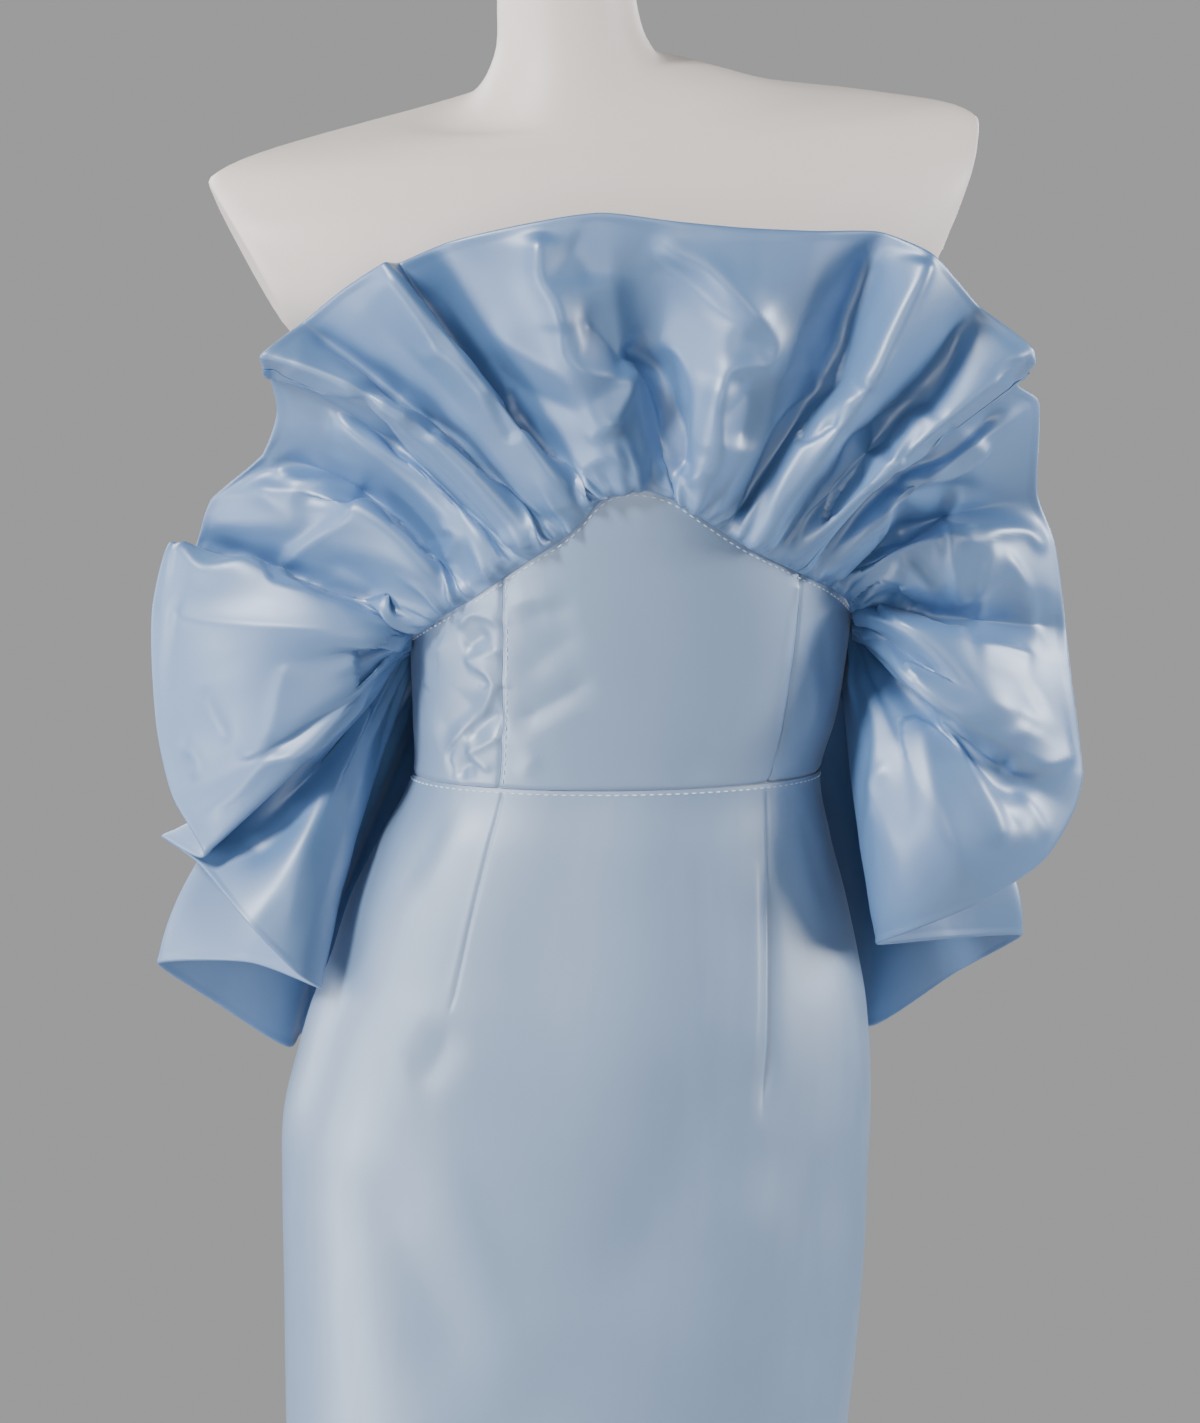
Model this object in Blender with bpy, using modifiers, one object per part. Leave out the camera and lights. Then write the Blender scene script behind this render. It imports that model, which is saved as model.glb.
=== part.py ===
"""Mermaid evening dress on a limbless dress form, with its stand.

An off-the-shoulder dress: a strapless bodice cut in five panels, a three-panel mermaid skirt and a deep
gathered flounce sewn round the whole top edge, which stands up as a fan in front, folds under at the sides
like short sleeves and hangs down the back as a cape.

Metres, +Z up.  The origin is on the floor under the stand's pole and the centre front faces -Y.  The tables
below are in millimetres and are taken square to the viewer, who sees the dress turned by TURN; `placed` turns
every point into the part's own frame.
"""
import math
from collections import namedtuple

import bmesh
import bpy
from mathutils import Vector

MM = 0.001
TURN = math.radians(-8.0)

CLOTH_WALL = 1.5
SEAM_GAP = 0.3
SEAM_MARGIN = 1.2
FORM_CLEARANCE = 3.0
WAIST_CLEARANCE = 0.5
WAIST_HEIGHT = 1080.0
WAIST_SEAT = 30.0
SEAM_ALLOWANCE = 6.0

PRINCESS_ANGLE = 41.0
SIDE_ANGLE = 95.0
BACK_ANGLE = 180.0
PANEL_STEP = 6.9

HEM_HEIGHT = 6.0
FLUTE_COUNT = 9
FLUTE_TOP = 470.0
FLUTE_DEPTH = 24.0
FLUTE_PHASE = 20.0

FORM_BOTTOM = 660.0
END_ROUNDING = 5.0

POLE_RADIUS = 12.5
FLANGE_RADIUS = 45.0
FLANGE_THICKNESS = 6.0
COLLAR_RADIUS = 24.0
COLLAR_HEIGHT = 30.0
BASE_RADIUS = 125.0
BASE_THICKNESS = 12.0
BASE_BEVEL = 3.0
ROUND_SIDES = 32

Section = namedtuple("Section", "height centre half_width front back")
BODY_SECTIONS = [
    Section(6, 0, 338, 318, 345),
    Section(90, -2, 300, 282, 306),
    Section(180, -6, 256, 236, 256),
    Section(270, -10, 208, 186, 204),
    Section(350, -13, 170, 144, 158),
    Section(420, -15, 150, 118, 126),
    Section(490, -17, 144, 108, 117),
    Section(560, -18, 148, 106, 122),
    Section(640, -18.5, 157, 104, 128),
    Section(702, -18, 162, 102, 132),
    Section(744, -16, 164.5, 101, 133),
    Section(803, -14, 167, 100, 132),
    Section(844, -13.5, 168, 100, 129),
    Section(890, -12, 168, 100, 124),
    Section(923, -8.5, 163.5, 99, 117),
    Section(953, -5.5, 157.5, 97, 109),
    Section(974, -3, 151, 95, 103),
    Section(1010, -1, 141, 92, 95),
    Section(1044, 3, 128, 90, 88),
    Section(WAIST_HEIGHT, 9.5, 116, 88, 84),
    Section(1110, 14, 120, 92, 86),
    Section(1140, 16, 123, 97, 90),
    Section(1165, 17, 125, 102, 94),
    Section(1200, 17, 127, 109, 97),
    Section(1245, 16, 130, 116, 100),
    Section(1275, 14, 132, 113, 98),
]
SKIRT_HEIGHTS = [WAIST_HEIGHT, 1058, 1030, 1000, 960, 910, 840, 750, 640, 540, 470, 410, 340, 260, 170, 85,
                 HEM_HEIGHT]
BODICE_ROWS = 6

TopEdge = namedtuple("TopEdge", "angle height")
TOP_EDGE = [
    TopEdge(-180, 1166), TopEdge(-135, 1157), TopEdge(-94, 1156), TopEdge(-73, 1166), TopEdge(-49, 1187),
    TopEdge(-33, 1208), TopEdge(-21, 1226), TopEdge(-13, 1244), TopEdge(-5, 1248), TopEdge(3, 1243),
    TopEdge(11, 1231), TopEdge(21, 1217), TopEdge(36, 1202), TopEdge(53, 1189), TopEdge(69, 1177),
    TopEdge(90, 1166), TopEdge(135, 1158), TopEdge(180, 1166),
]

Rib = namedtuple("Rib", "name seam_angle middle hem roundness")
FLOUNCE_RIBS = [
    Rib("left_wrap_back", -134, (-147, 48, 1014), (-181, 68, 908), 1),
    Rib("left_wrap_side", -128, (-176, 28, 1029), (-222, 38, 940), 1),
    Rib("left_lower_fold", -122.5, (-205, 4, 1059), (-252, 10, 967), 0.6),
    Rib("left_inner_layer", -117.5, (-160, -4, 1054), (-198, -20, 973), 1),
    Rib("left_sleeve_fold", -112.5, (-134, -26, 1054), (-156, -60, 965), 0.6),
    Rib("left_sleeve_front", -108.5, (-142, -44, 1055), (-168, -74, 976), 1),
    Rib("left_sleeve_crest", -104.5, (-155, -50, 1063), (-194, -74, 1003), 1),
    Rib("left_sleeve_side", -99.5, (-165, -34, 1078), (-225, -36, 1032), 0.9),
    Rib("left_under_flap", -93.5, (-144, -44, 1108), (-248, -8, 1043), 1),
    Rib("left_drop_edge", -89, (-141, -62, 1118), (-221, -52, 1039), 1.6),
    Rib("left_drop_front", -84.5, (-161, -66, 1116), (-240, -30, 1070), 1),
    Rib("left_drop_middle", -80, (-176, -62, 1145), (-249, -20, 1108), 1),
    Rib("left_drop_ridge", -76, (-171, -60, 1169), (-251, -16, 1174), 1),
    Rib("left_drop_top", -70, (-179, -48, 1196), (-241, -12, 1210), 1),
    Rib("left_pocket", -63, (-168, -34, 1188), (-231, 2, 1201), 0.8),
    Rib("left_wedge", -57.5, (-136, -66, 1235), (-217, -20, 1235), 0.7),
    Rib("left_third_valley", -49, (-129, -44, 1240), (-187, -42, 1262), 0.7),
    Rib("left_third_crest", -41, (-97, -86, 1253), (-178, -56, 1286), 1),
    Rib("left_second_valley", -35, (-109, -77, 1268), (-181, -74, 1308), 0.6),
    Rib("left_second_crest", -30, (-100, -114, 1284), (-184, -102, 1320), 0.7),
    Rib("left_first_valley", -25.5, (-93, -96, 1284), (-161, -90, 1338), 0.6),
    Rib("left_first_plane", -22, (-82, -114, 1298), (-139, -108, 1356), 1),
    Rib("left_first_crest", -18.5, (-56, -130, 1299), (-116, -126, 1371), 0.7),
    Rib("left_panel_valley", -14.5, (-54, -108, 1294), (-109, -100, 1370), 0.7),
    Rib("panel_left", -11.5, (-42, -120, 1305), (-81, -120, 1382), 1),
    Rib("panel_left_ridge", -8.5, (-13, -138, 1319), (-35, -132, 1393), 1),
    Rib("panel_middle", -3, (11, -130, 1323), (0, -134, 1398), 1),
    Rib("panel_valley", 3.5, (32, -114, 1296), (36, -134, 1394), 1),
    Rib("panel_right_ridge", 7.5, (65, -136, 1298), (75, -130, 1390), 1),
    Rib("panel_right", 11, (92, -126, 1306), (115, -124, 1388), 1),
    Rib("right_first_valley", 15, (120, -102, 1308), (151, -110, 1387), 0.8),
    Rib("right_first_crest", 21, (143, -128, 1302), (178, -122, 1376), 0.8),
    Rib("right_second_valley", 27.5, (159, -96, 1285), (205, -100, 1347), 0.8),
    Rib("right_second_crest", 35, (162, -114, 1264), (235, -100, 1323), 0.7),
    Rib("right_under_valley", 41, (160, -82, 1252), (228, -78, 1303), 0.6),
    Rib("right_third_crest", 47, (176, -88, 1248), (241, -60, 1293), 0.8),
    Rib("right_hollow", 53, (169, -48, 1220), (243, -38, 1239), 0.8),
    Rib("right_fourth_crest", 59, (187, -66, 1219), (253, -30, 1213), 1),
    Rib("right_v_plane", 64.5, (196, -60, 1194), (258, -24, 1185), 1),
    Rib("right_v_valley", 70.5, (184, -40, 1172), (261, -20, 1163), 0.7),
    Rib("right_v_crest", 76.5, (179, -64, 1166), (263, -20, 1145), 0.8),
    Rib("right_drop_middle", 81, (203, -70, 1134), (268, -20, 1108), 1),
    Rib("right_drop_edge", 85.5, (187, -70, 1127), (271, -24, 1080), 0.7),
    Rib("right_drop_under", 90, (186, -52, 1118), (266, -28, 1061), 1),
    Rib("right_sleeve_side", 94.5, (201, -58, 1096), (249, -38, 1035), 1),
    Rib("right_sleeve_crest", 99, (173, -62, 1085), (213, -58, 1014), 1),
    Rib("right_sleeve_front", 103.5, (154, -48, 1075), (181, -52, 999), 1),
    Rib("right_sleeve_fold", 108, (143, -20, 1066), (156, -30, 985), 0.7),
    Rib("right_inner_layer", 113.5, (167, 2, 1067), (198, -10, 985), 1),
    Rib("right_lower_fold", 119.5, (213, 14, 1061), (240, 12, 983), 0.7),
    Rib("right_wrap_side", 125.5, (186, 34, 1032), (205, 40, 957), 1),
    Rib("right_wrap_back", 132, (151, 56, 1019), (159, 72, 920), 1),
]
LEFT_JOIN = "left_second_valley"
RIGHT_JOIN = "right_second_crest"
FLOUNCE_ROWS = 11
FLOUNCE_STEP = 15.0
FEWEST_STEPS, MOST_STEPS = 2, 4
SEAM_STAND_OFF = 1.6
BODY_STAND_OFF = 6.0
STAND_OFF_REACH = 0.14
HEM_WEIGHT = 0.6

CAPE_ANGLES = [141, 149, 157, 166, 174, 179.2]
CAPE_HEM_ANGLES = [134, 144, 154, 164, 172, 178.5]
CAPE_HEM_HEIGHTS = [912, 906, 902, 900, 899, 898]
CAPE_HEM_OUTWARD = [44, 24, 42, 22, 38, 26]
CAPE_MIDDLE_OUTWARD = [38, 22, 34, 20, 30, 22]
CAPE_MIDDLE_HEIGHT = 1022.0

FormRing = namedtuple("FormRing", "height centre half_width front back tilt pitch power")
SHOULDER_RINGS = [
    FormRing(1262, 14.5, 127, 105, 94, 0.00, 0.00, 2.0),
    FormRing(1295, 11, 138, 93, 91, 0.02, 0.00, 2.1),
    FormRing(1330, 6, 170, 87, 88, 0.05, 0.00, 2.2),
    FormRing(1368, 0, 212, 77, 82, 0.075, 0.00, 2.3),
    FormRing(1400, -2, 235, 68, 76, 0.082, 0.05, 2.2),
    FormRing(1422, -3, 224, 61, 69, 0.082, 0.10, 1.9),
    FormRing(1437, -3, 205, 56, 64, 0.082, 0.16, 1.7),
    FormRing(1446, -5, 165, 52, 61, 0.085, 0.22, 1.7),
    FormRing(1454, -10, 108, 50, 58, 0.11, 0.26, 1.8),
    FormRing(1465, -16, 60, 47, 55, 0.22, 0.28, 2.0),
    FormRing(1484, -15.5, 43.5, 40, 46, 0.10, 0.16, 2.0),
    FormRing(1512, -18.5, 38.7, 36, 41, 0.00, 0.05, 2.0),
    FormRing(1556, -20, 37, 35, 39, 0.00, 0.00, 2.0),
]
ArmCut = namedtuple("ArmCut", "side reach height slope")
ARM_CUTS = [ArmCut(-1, 216, 1406, 0.535), ArmCut(1, 214, 1440, 0.39)]
FORM_LEVELS = [FORM_BOTTOM, 700, 750, 810, 870, 920, 960, 1000, 1030, 1058, WAIST_HEIGHT, 1105, 1135, 1165, 1200,
               1235]


def placed(x, y, z):
    """Turn a point from the viewer's square axes into the part's frame, in metres."""
    across = x * math.cos(TURN) - y * math.sin(TURN)
    depth = x * math.sin(TURN) + y * math.cos(TURN)
    return Vector((across * MM, depth * MM, z * MM))


def smooth_value(knots, values, at):
    """Read a smooth curve through (knots, values), with a tangent taken from the neighbours at each knot."""
    if at <= knots[0]:
        return values[0]
    if at >= knots[-1]:
        return values[-1]
    last = len(knots) - 1
    low = max(i for i in range(last) if knots[i] <= at)

    def slope(i):
        if i == 0:
            return (values[1] - values[0]) / (knots[1] - knots[0])
        if i == last:
            return (values[-1] - values[-2]) / (knots[-1] - knots[-2])
        before, after = knots[i] - knots[i - 1], knots[i + 1] - knots[i]
        rise_before = (values[i] - values[i - 1]) / before
        rise_after = (values[i + 1] - values[i]) / after
        return (rise_before * after + rise_after * before) / (before + after)

    width = knots[low + 1] - knots[low]
    t = (at - knots[low]) / width
    return hermite(values[low], values[low + 1], slope(low) * width, slope(low + 1) * width, t)


def hermite(start, end, start_tangent, end_tangent, t):
    """Blend two ends and their tangents; works on numbers and on vectors."""
    return (start * (2 * t ** 3 - 3 * t ** 2 + 1) + start_tangent * (t ** 3 - 2 * t ** 2 + t)
            + end * (3 * t ** 2 - 2 * t ** 3) + end_tangent * (t ** 3 - t ** 2))


def section_at(height):
    """The body section at a height, read smoothly between the rows of BODY_SECTIONS."""
    heights = [row.height for row in BODY_SECTIONS]
    return Section(height, *(smooth_value(heights, [row[k] for row in BODY_SECTIONS], height)
                             for k in range(1, len(Section._fields))))


def flute(angle, height):
    """How far the skirt's hem flutes stand out from the plain section."""
    if height >= FLUTE_TOP:
        return 0.0
    fall = (FLUTE_TOP - height) / (FLUTE_TOP - HEM_HEIGHT)
    return FLUTE_DEPTH * fall ** 1.5 * math.cos(math.radians(FLUTE_COUNT * angle + FLUTE_PHASE))


def ring_point(ring, angle, outward=0.0, power=2.0):
    """A point at an angle round a section: 0 is the centre front, positive towards the viewer's right."""
    turn = math.radians(angle)
    side, ahead = math.sin(turn), math.cos(turn)
    reach = (ring.front if ahead > 0 else ring.back) + outward
    local_x = (ring.half_width + outward) * math.copysign(abs(side) ** (2.0 / power), side)
    local_y = -reach * math.copysign(abs(ahead) ** (2.0 / power), ahead)
    return local_x, local_y


def body_point(angle, height, outward=0.0):
    """A point on the dressed body, in the viewer's square axes."""
    ring = section_at(height)
    local_x, local_y = ring_point(ring, angle, outward + flute(angle, height))
    x = ring.centre + local_x * math.cos(-TURN) - local_y * math.sin(-TURN)
    y = local_x * math.sin(-TURN) + local_y * math.cos(-TURN)
    return Vector((x, y, height))


def top_edge_height(angle):
    """The height of the seam between the bodice and the flounce at an angle round the body."""
    return smooth_value([row.angle for row in TOP_EDGE], [row.height for row in TOP_EDGE], angle)


def make_material(name, colour, roughness, metallic=0.0):
    """A plain Principled material."""
    material = bpy.data.materials.new(name)
    material.use_nodes = True
    shader = material.node_tree.nodes["Principled BSDF"]
    shader.inputs["Base Color"].default_value = (*colour, 1.0)
    shader.inputs["Roughness"].default_value = roughness
    shader.inputs["Metallic"].default_value = metallic
    material.diffuse_color = (*colour, 1.0)
    return material


def add_object(name, mesh, material, collection):
    """Link a mesh as one named part with its own material."""
    piece = bpy.data.objects.new(name, mesh)
    mesh.materials.append(material)
    collection.objects.link(piece)
    return piece


def grid_mesh(name, columns):
    """Join equal columns of points, each running from one edge of a panel to the other, into an open sheet."""
    rows = len(columns[0])
    points = [placed(*point) for column in columns for point in column]
    faces = [(c * rows + r, (c + 1) * rows + r, (c + 1) * rows + r + 1, c * rows + r + 1)
             for c in range(len(columns) - 1) for r in range(rows - 1)]
    mesh = bpy.data.meshes.new(name)
    mesh.from_pydata(points, [], faces)
    mesh.shade_smooth()
    return mesh


def cloth_panel(name, columns, side, material, collection):
    """Make a panel: an open sheet given the cloth's wall; side is -1 for inward and 0 for both ways."""
    panel = add_object(name, grid_mesh(name, columns), material, collection)
    wall = panel.modifiers.new("wall", "SOLIDIFY")
    wall.thickness = CLOTH_WALL * MM
    wall.offset = side
    wall.use_rim = True
    return panel


def panel_angles(start, end, middle_height):
    """The angles of a panel's columns, with half a seam gap off each side and a narrow margin along each seam."""
    trim = math.degrees(0.5 * SEAM_GAP / section_at(middle_height).half_width)
    margin = math.degrees(SEAM_MARGIN / section_at(middle_height).half_width)
    count = max(2, round((end - start) / PANEL_STEP))
    inner = [start + (end - start) * k / count for k in range(1, count)]
    return [start + trim, start + margin] + inner + [end - margin, end - trim]


def build_bodice(material, collection):
    """Five bodice panels between the waist seam and the flounce seam."""
    spans = {
        "bodice_centre_front": (-PRINCESS_ANGLE, PRINCESS_ANGLE),
        "bodice_side_left": (-SIDE_ANGLE, -PRINCESS_ANGLE),
        "bodice_side_right": (PRINCESS_ANGLE, SIDE_ANGLE),
        "bodice_back_left": (-BACK_ANGLE, -SIDE_ANGLE),
        "bodice_back_right": (SIDE_ANGLE, BACK_ANGLE),
    }
    bottom = WAIST_HEIGHT + 0.5 * SEAM_GAP
    for name, (start, end) in spans.items():
        columns = []
        for angle in panel_angles(start, end, WAIST_HEIGHT):
            top = top_edge_height(angle) + SEAM_ALLOWANCE
            columns.append([body_point(angle, bottom + (top - bottom) * r / BODICE_ROWS)
                            for r in range(BODICE_ROWS + 1)])
        cloth_panel(name, columns, -1, material, collection)


def build_skirt(material, collection):
    """Three skirt panels, fitted to the knee and fluted below it."""
    spans = {
        "skirt_front": (-SIDE_ANGLE, SIDE_ANGLE),
        "skirt_back_left": (-BACK_ANGLE, -SIDE_ANGLE),
        "skirt_back_right": (SIDE_ANGLE, BACK_ANGLE),
    }
    heights = [min(height, WAIST_HEIGHT - 0.5 * SEAM_GAP) for height in reversed(SKIRT_HEIGHTS)]
    for name, (start, end) in spans.items():
        columns = [[body_point(angle, height) for height in heights]
                   for angle in panel_angles(start, end, WAIST_HEIGHT)]
        cloth_panel(name, columns, -1, material, collection)


def cape_ribs(side):
    """The plain folds that hang down one half of the back, from the side towards the centre back."""
    ribs = []
    for k, angle in enumerate(CAPE_ANGLES):
        middle = body_point(side * CAPE_HEM_ANGLES[k], CAPE_MIDDLE_HEIGHT, CAPE_MIDDLE_OUTWARD[k])
        hem = body_point(side * CAPE_HEM_ANGLES[k], CAPE_HEM_HEIGHTS[k], CAPE_HEM_OUTWARD[k])
        ribs.append(Rib(f"cape_{k}", side * angle, middle, hem, 1.0))
    return ribs


def rib_curve(rib, v):
    """A point on a rib: through the seam at v = 0, its middle at one half and the hem at 1."""
    start = body_point(rib.seam_angle, top_edge_height(rib.seam_angle), SEAM_STAND_OFF)
    middle, hem = Vector(rib.middle), Vector(rib.hem)
    return (start * ((1 - v) * (1 - 2 * v)) + middle * (4 * v * (1 - v)) + hem * (v * (2 * v - 1)))


def kept_outside(point, v):
    """Move a point of the flounce out of the body, so that it clears the cloth under it more away from the seam."""
    if point.z > BODY_SECTIONS[-1].height:
        return point
    ring = section_at(point.z)
    across, depth = point.x - ring.centre, point.y
    local_x = across * math.cos(-TURN) + depth * math.sin(-TURN)
    local_y = -across * math.sin(-TURN) + depth * math.cos(-TURN)
    ratio = math.hypot(local_x / ring.half_width, local_y / (ring.front if local_y < 0 else ring.back))
    surface = math.hypot(local_x, local_y) / ratio
    wanted = SEAM_STAND_OFF + (BODY_STAND_OFF - SEAM_STAND_OFF) * min(1.0, v / STAND_OFF_REACH)
    outward = surface * (ratio - 1.0)
    if outward >= wanted:
        return point
    scale = (surface + wanted) / (surface + outward)
    return Vector((ring.centre + across * scale, depth * scale, point.z))


def rib_spacing(first, second):
    """The distance between two ribs, weighed between their hems and their middles."""
    hems = (Vector(first.hem) - Vector(second.hem)).length
    middles = (Vector(first.middle) - Vector(second.middle)).length
    return HEM_WEIGHT * hems + (1 - HEM_WEIGHT) * middles


def across_ribs(points, turns, here, t):
    """A centripetal curve through up to four neighbouring ribs; a turn under 1 draws a sharper fold."""
    knots = [math.sqrt((after - before).length) for before, after in zip(points, points[1:])]

    def tangent(k):
        if k == 0:
            return (points[1] - points[0]) / knots[0]
        if k == len(points) - 1:
            return (points[k] - points[k - 1]) / knots[k - 1]
        before, after = knots[k - 1], knots[k]
        rise = (points[k] - points[k - 1]) * (after / before) + (points[k + 1] - points[k]) * (before / after)
        return rise * (turns[k] / (before + after))

    width = knots[here]
    return hermite(points[here], points[here + 1], tangent(here) * width, tangent(here + 1) * width, t)


def flounce_column(ribs, index, t):
    """The column of points at a fraction t of the way from one rib to the next."""
    near = ribs[max(0, index - 1):index + 3]
    turns = [rib.roundness for rib in near]
    column = []
    for row in range(FLOUNCE_ROWS + 1):
        v = row / FLOUNCE_ROWS
        points = [rib_curve(rib, v) for rib in near]
        column.append(kept_outside(across_ribs(points, turns, min(index, 1), t), v))
    return column


def flounce_places(ribs, start, end):
    """Where a length of flounce has its columns: pairs of a rib's index and a fraction of the way to the next."""
    spacing = [rib_spacing(ribs[k], ribs[k + 1]) for k in range(len(ribs) - 1)]
    first, last = int(start), min(int(end), len(ribs) - 2)
    places = []
    for index in range(first, last + 1):
        steps = min(MOST_STEPS, max(FEWEST_STEPS, round(spacing[index] / FLOUNCE_STEP)))
        places += [(index, step / steps) for step in range(steps) if start < index + step / steps < end]
    edges = (0.5 * SEAM_GAP, SEAM_MARGIN)
    opening = [(first, start - first + distance / spacing[first]) for distance in edges]
    closing = [(last, end - last - distance / spacing[last]) for distance in reversed(edges)]
    return opening + places + closing


def build_flounce(material, collection):
    """The flounce in three lengths, joined half-way between two ribs on the hidden side of a fold."""
    ribs = list(reversed(cape_ribs(-1))) + FLOUNCE_RIBS + cape_ribs(1)
    names = [rib.name for rib in ribs]
    joins = [0.0, names.index(LEFT_JOIN) + 0.5, names.index(RIGHT_JOIN) + 0.5, len(ribs) - 1.0]
    for name, start, end in zip(("flounce_left", "flounce_front", "flounce_right"), joins, joins[1:]):
        columns = [flounce_column(ribs, index, t) for index, t in flounce_places(ribs, start, end)]
        cloth_panel(name, columns, 0, material, collection)


def form_clearance(height):
    """The gap between the form and the cloth's inner face: small at the waist, where the dress is held."""
    away = min(1.0, abs(height - WAIST_HEIGHT) / WAIST_SEAT)
    return WAIST_CLEARANCE + (FORM_CLEARANCE - WAIST_CLEARANCE) * away


def cut_arm(local_x, z):
    """Hold a point behind the plane where the arm is cut off, with a rounded edge."""
    for cut in ARM_CUTS:
        limit = cut.reach + (z - cut.height) * cut.slope
        reach = local_x * cut.side
        if reach > limit - END_ROUNDING:
            excess = reach - (limit - END_ROUNDING)
            reach = limit - END_ROUNDING + END_ROUNDING * math.tanh(excess / END_ROUNDING)
            local_x = reach * cut.side
    return local_x


def form_rings():
    """Rings of the form's surface from the bottom to the top of the neck."""
    angles = []
    for start, end in ((-PRINCESS_ANGLE, PRINCESS_ANGLE), (PRINCESS_ANGLE, SIDE_ANGLE), (SIDE_ANGLE, BACK_ANGLE),
                       (-BACK_ANGLE, -SIDE_ANGLE), (-SIDE_ANGLE, -PRINCESS_ANGLE)):
        count = max(2, round((end - start) / PANEL_STEP))
        angles += [start + (end - start) * k / count for k in range(0, count, 2)]
    rings = [[body_point(angle, height, -(CLOTH_WALL + form_clearance(height))) for angle in angles]
             for height in FORM_LEVELS]
    for row in SHOULDER_RINGS:
        ring = []
        for angle in angles:
            local_x, local_y = ring_point(row, angle, power=row.power)
            z = row.height + row.tilt * local_x + row.pitch * local_y
            local_x = cut_arm(local_x + row.centre, z) - row.centre
            x = row.centre + local_x * math.cos(-TURN) - local_y * math.sin(-TURN)
            y = local_x * math.sin(-TURN) + local_y * math.cos(-TURN)
            ring.append(Vector((x, y, z)))
        rings.append(ring)
    return rings


def build_form(material, collection):
    """A limbless dress form: one smooth closed body with flat arm cuts, a flat bottom and a flat neck top."""
    model = bmesh.new()
    rings = [[model.verts.new(placed(*point)) for point in ring] for ring in form_rings()]
    sides = len(rings[0])
    for lower, upper in zip(rings, rings[1:]):
        for k in range(sides):
            model.faces.new((lower[k], lower[(k + 1) % sides], upper[(k + 1) % sides], upper[k]))
    model.faces.new(list(reversed(rings[0])))
    model.faces.new(rings[-1])
    mesh = bpy.data.meshes.new("dress_form")
    model.to_mesh(mesh)
    model.free()
    mesh.shade_smooth()
    add_object("dress_form", mesh, material, collection)


def add_disc(name, radius, bottom, top, material, collection, bevel=0.0):
    """A round piece of the stand on the pole's axis."""
    bpy.ops.mesh.primitive_cylinder_add(vertices=ROUND_SIDES, radius=radius * MM, depth=(top - bottom) * MM,
                                        location=(0.0, 0.0, 0.5 * (top + bottom) * MM))
    piece = bpy.context.active_object
    piece.name = piece.data.name = name
    for holder in list(piece.users_collection):
        holder.objects.unlink(piece)
    collection.objects.link(piece)
    piece.data.materials.append(material)
    piece.data.shade_smooth()
    piece.data.set_sharp_from_angle(angle=math.radians(40))
    if bevel:
        edge = piece.modifiers.new("edge", "BEVEL")
        edge.width = bevel * MM
        edge.segments = 2
        edge.limit_method = "ANGLE"
    return piece


def build_stand(material, collection):
    """A round base, a collar, a pole and the flange that carries the form."""
    flange_top = FORM_BOTTOM - SEAM_GAP
    flange_bottom = flange_top - FLANGE_THICKNESS
    collar_top = BASE_THICKNESS + SEAM_GAP + COLLAR_HEIGHT
    add_disc("stand_base", BASE_RADIUS, 0.0, BASE_THICKNESS, material, collection, BASE_BEVEL)
    add_disc("stand_collar", COLLAR_RADIUS, BASE_THICKNESS + SEAM_GAP, collar_top, material, collection, 2.0)
    add_disc("stand_pole", POLE_RADIUS, collar_top + SEAM_GAP, flange_bottom - SEAM_GAP, material, collection)
    add_disc("stand_flange", FLANGE_RADIUS, flange_bottom, flange_top, material, collection)


def main():
    """Clear the scene and build the dress, the form and the stand."""
    for old in list(bpy.data.objects):
        bpy.data.objects.remove(old, do_unlink=True)
    collection = bpy.data.collections.new("mermaid_evening_dress")
    bpy.context.scene.collection.children.link(collection)
    satin = make_material("ice_blue_satin", (0.36, 0.53, 0.76), 0.38)
    shell = make_material("warm_white_shell", (0.76, 0.70, 0.66), 0.55)
    steel = make_material("brushed_steel", (0.55, 0.55, 0.56), 0.35, 1.0)
    build_bodice(satin, collection)
    build_skirt(satin, collection)
    build_flounce(satin, collection)
    build_form(shell, collection)
    build_stand(steel, collection)


main()
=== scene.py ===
"""Looks of a mermaid evening dress on a limbless dress form.

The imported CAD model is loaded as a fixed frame.  Each cloth panel is drawn again as a thin shell on the
same loft as its solid, with its sewing, creases and satin finish.  The form is drawn again with a smoother
skin, and the stand keeps its solids.  Tables are in millimetres and are taken square to the viewer, who sees
the dress turned by TURN.  `placed` turns every point into the part's own frame, in metres.
"""
from __future__ import annotations

import logging
import math
import random
from dataclasses import dataclass, field
from enum import Enum
from typing import Callable, NamedTuple, Sequence

import bpy
import numpy as np
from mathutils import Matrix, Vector

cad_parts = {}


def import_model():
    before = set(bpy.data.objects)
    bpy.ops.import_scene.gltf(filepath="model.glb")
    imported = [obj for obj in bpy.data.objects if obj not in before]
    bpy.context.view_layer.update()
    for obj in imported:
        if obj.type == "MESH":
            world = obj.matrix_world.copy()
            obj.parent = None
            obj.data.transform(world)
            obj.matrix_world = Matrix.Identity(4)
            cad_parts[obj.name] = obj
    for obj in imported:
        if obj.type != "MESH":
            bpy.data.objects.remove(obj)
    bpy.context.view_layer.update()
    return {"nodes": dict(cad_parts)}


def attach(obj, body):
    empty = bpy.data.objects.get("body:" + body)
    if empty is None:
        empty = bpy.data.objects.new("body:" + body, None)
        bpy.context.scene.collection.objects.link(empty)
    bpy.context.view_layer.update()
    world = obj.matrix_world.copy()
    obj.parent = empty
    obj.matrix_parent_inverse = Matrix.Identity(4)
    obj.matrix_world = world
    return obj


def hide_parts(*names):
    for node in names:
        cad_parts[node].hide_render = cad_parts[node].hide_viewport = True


logging.basicConfig(level=logging.INFO, format="%(message)s")
LOG = logging.getLogger("evening_dress")

Points = np.ndarray
Triple = tuple[float, float, float]

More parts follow.
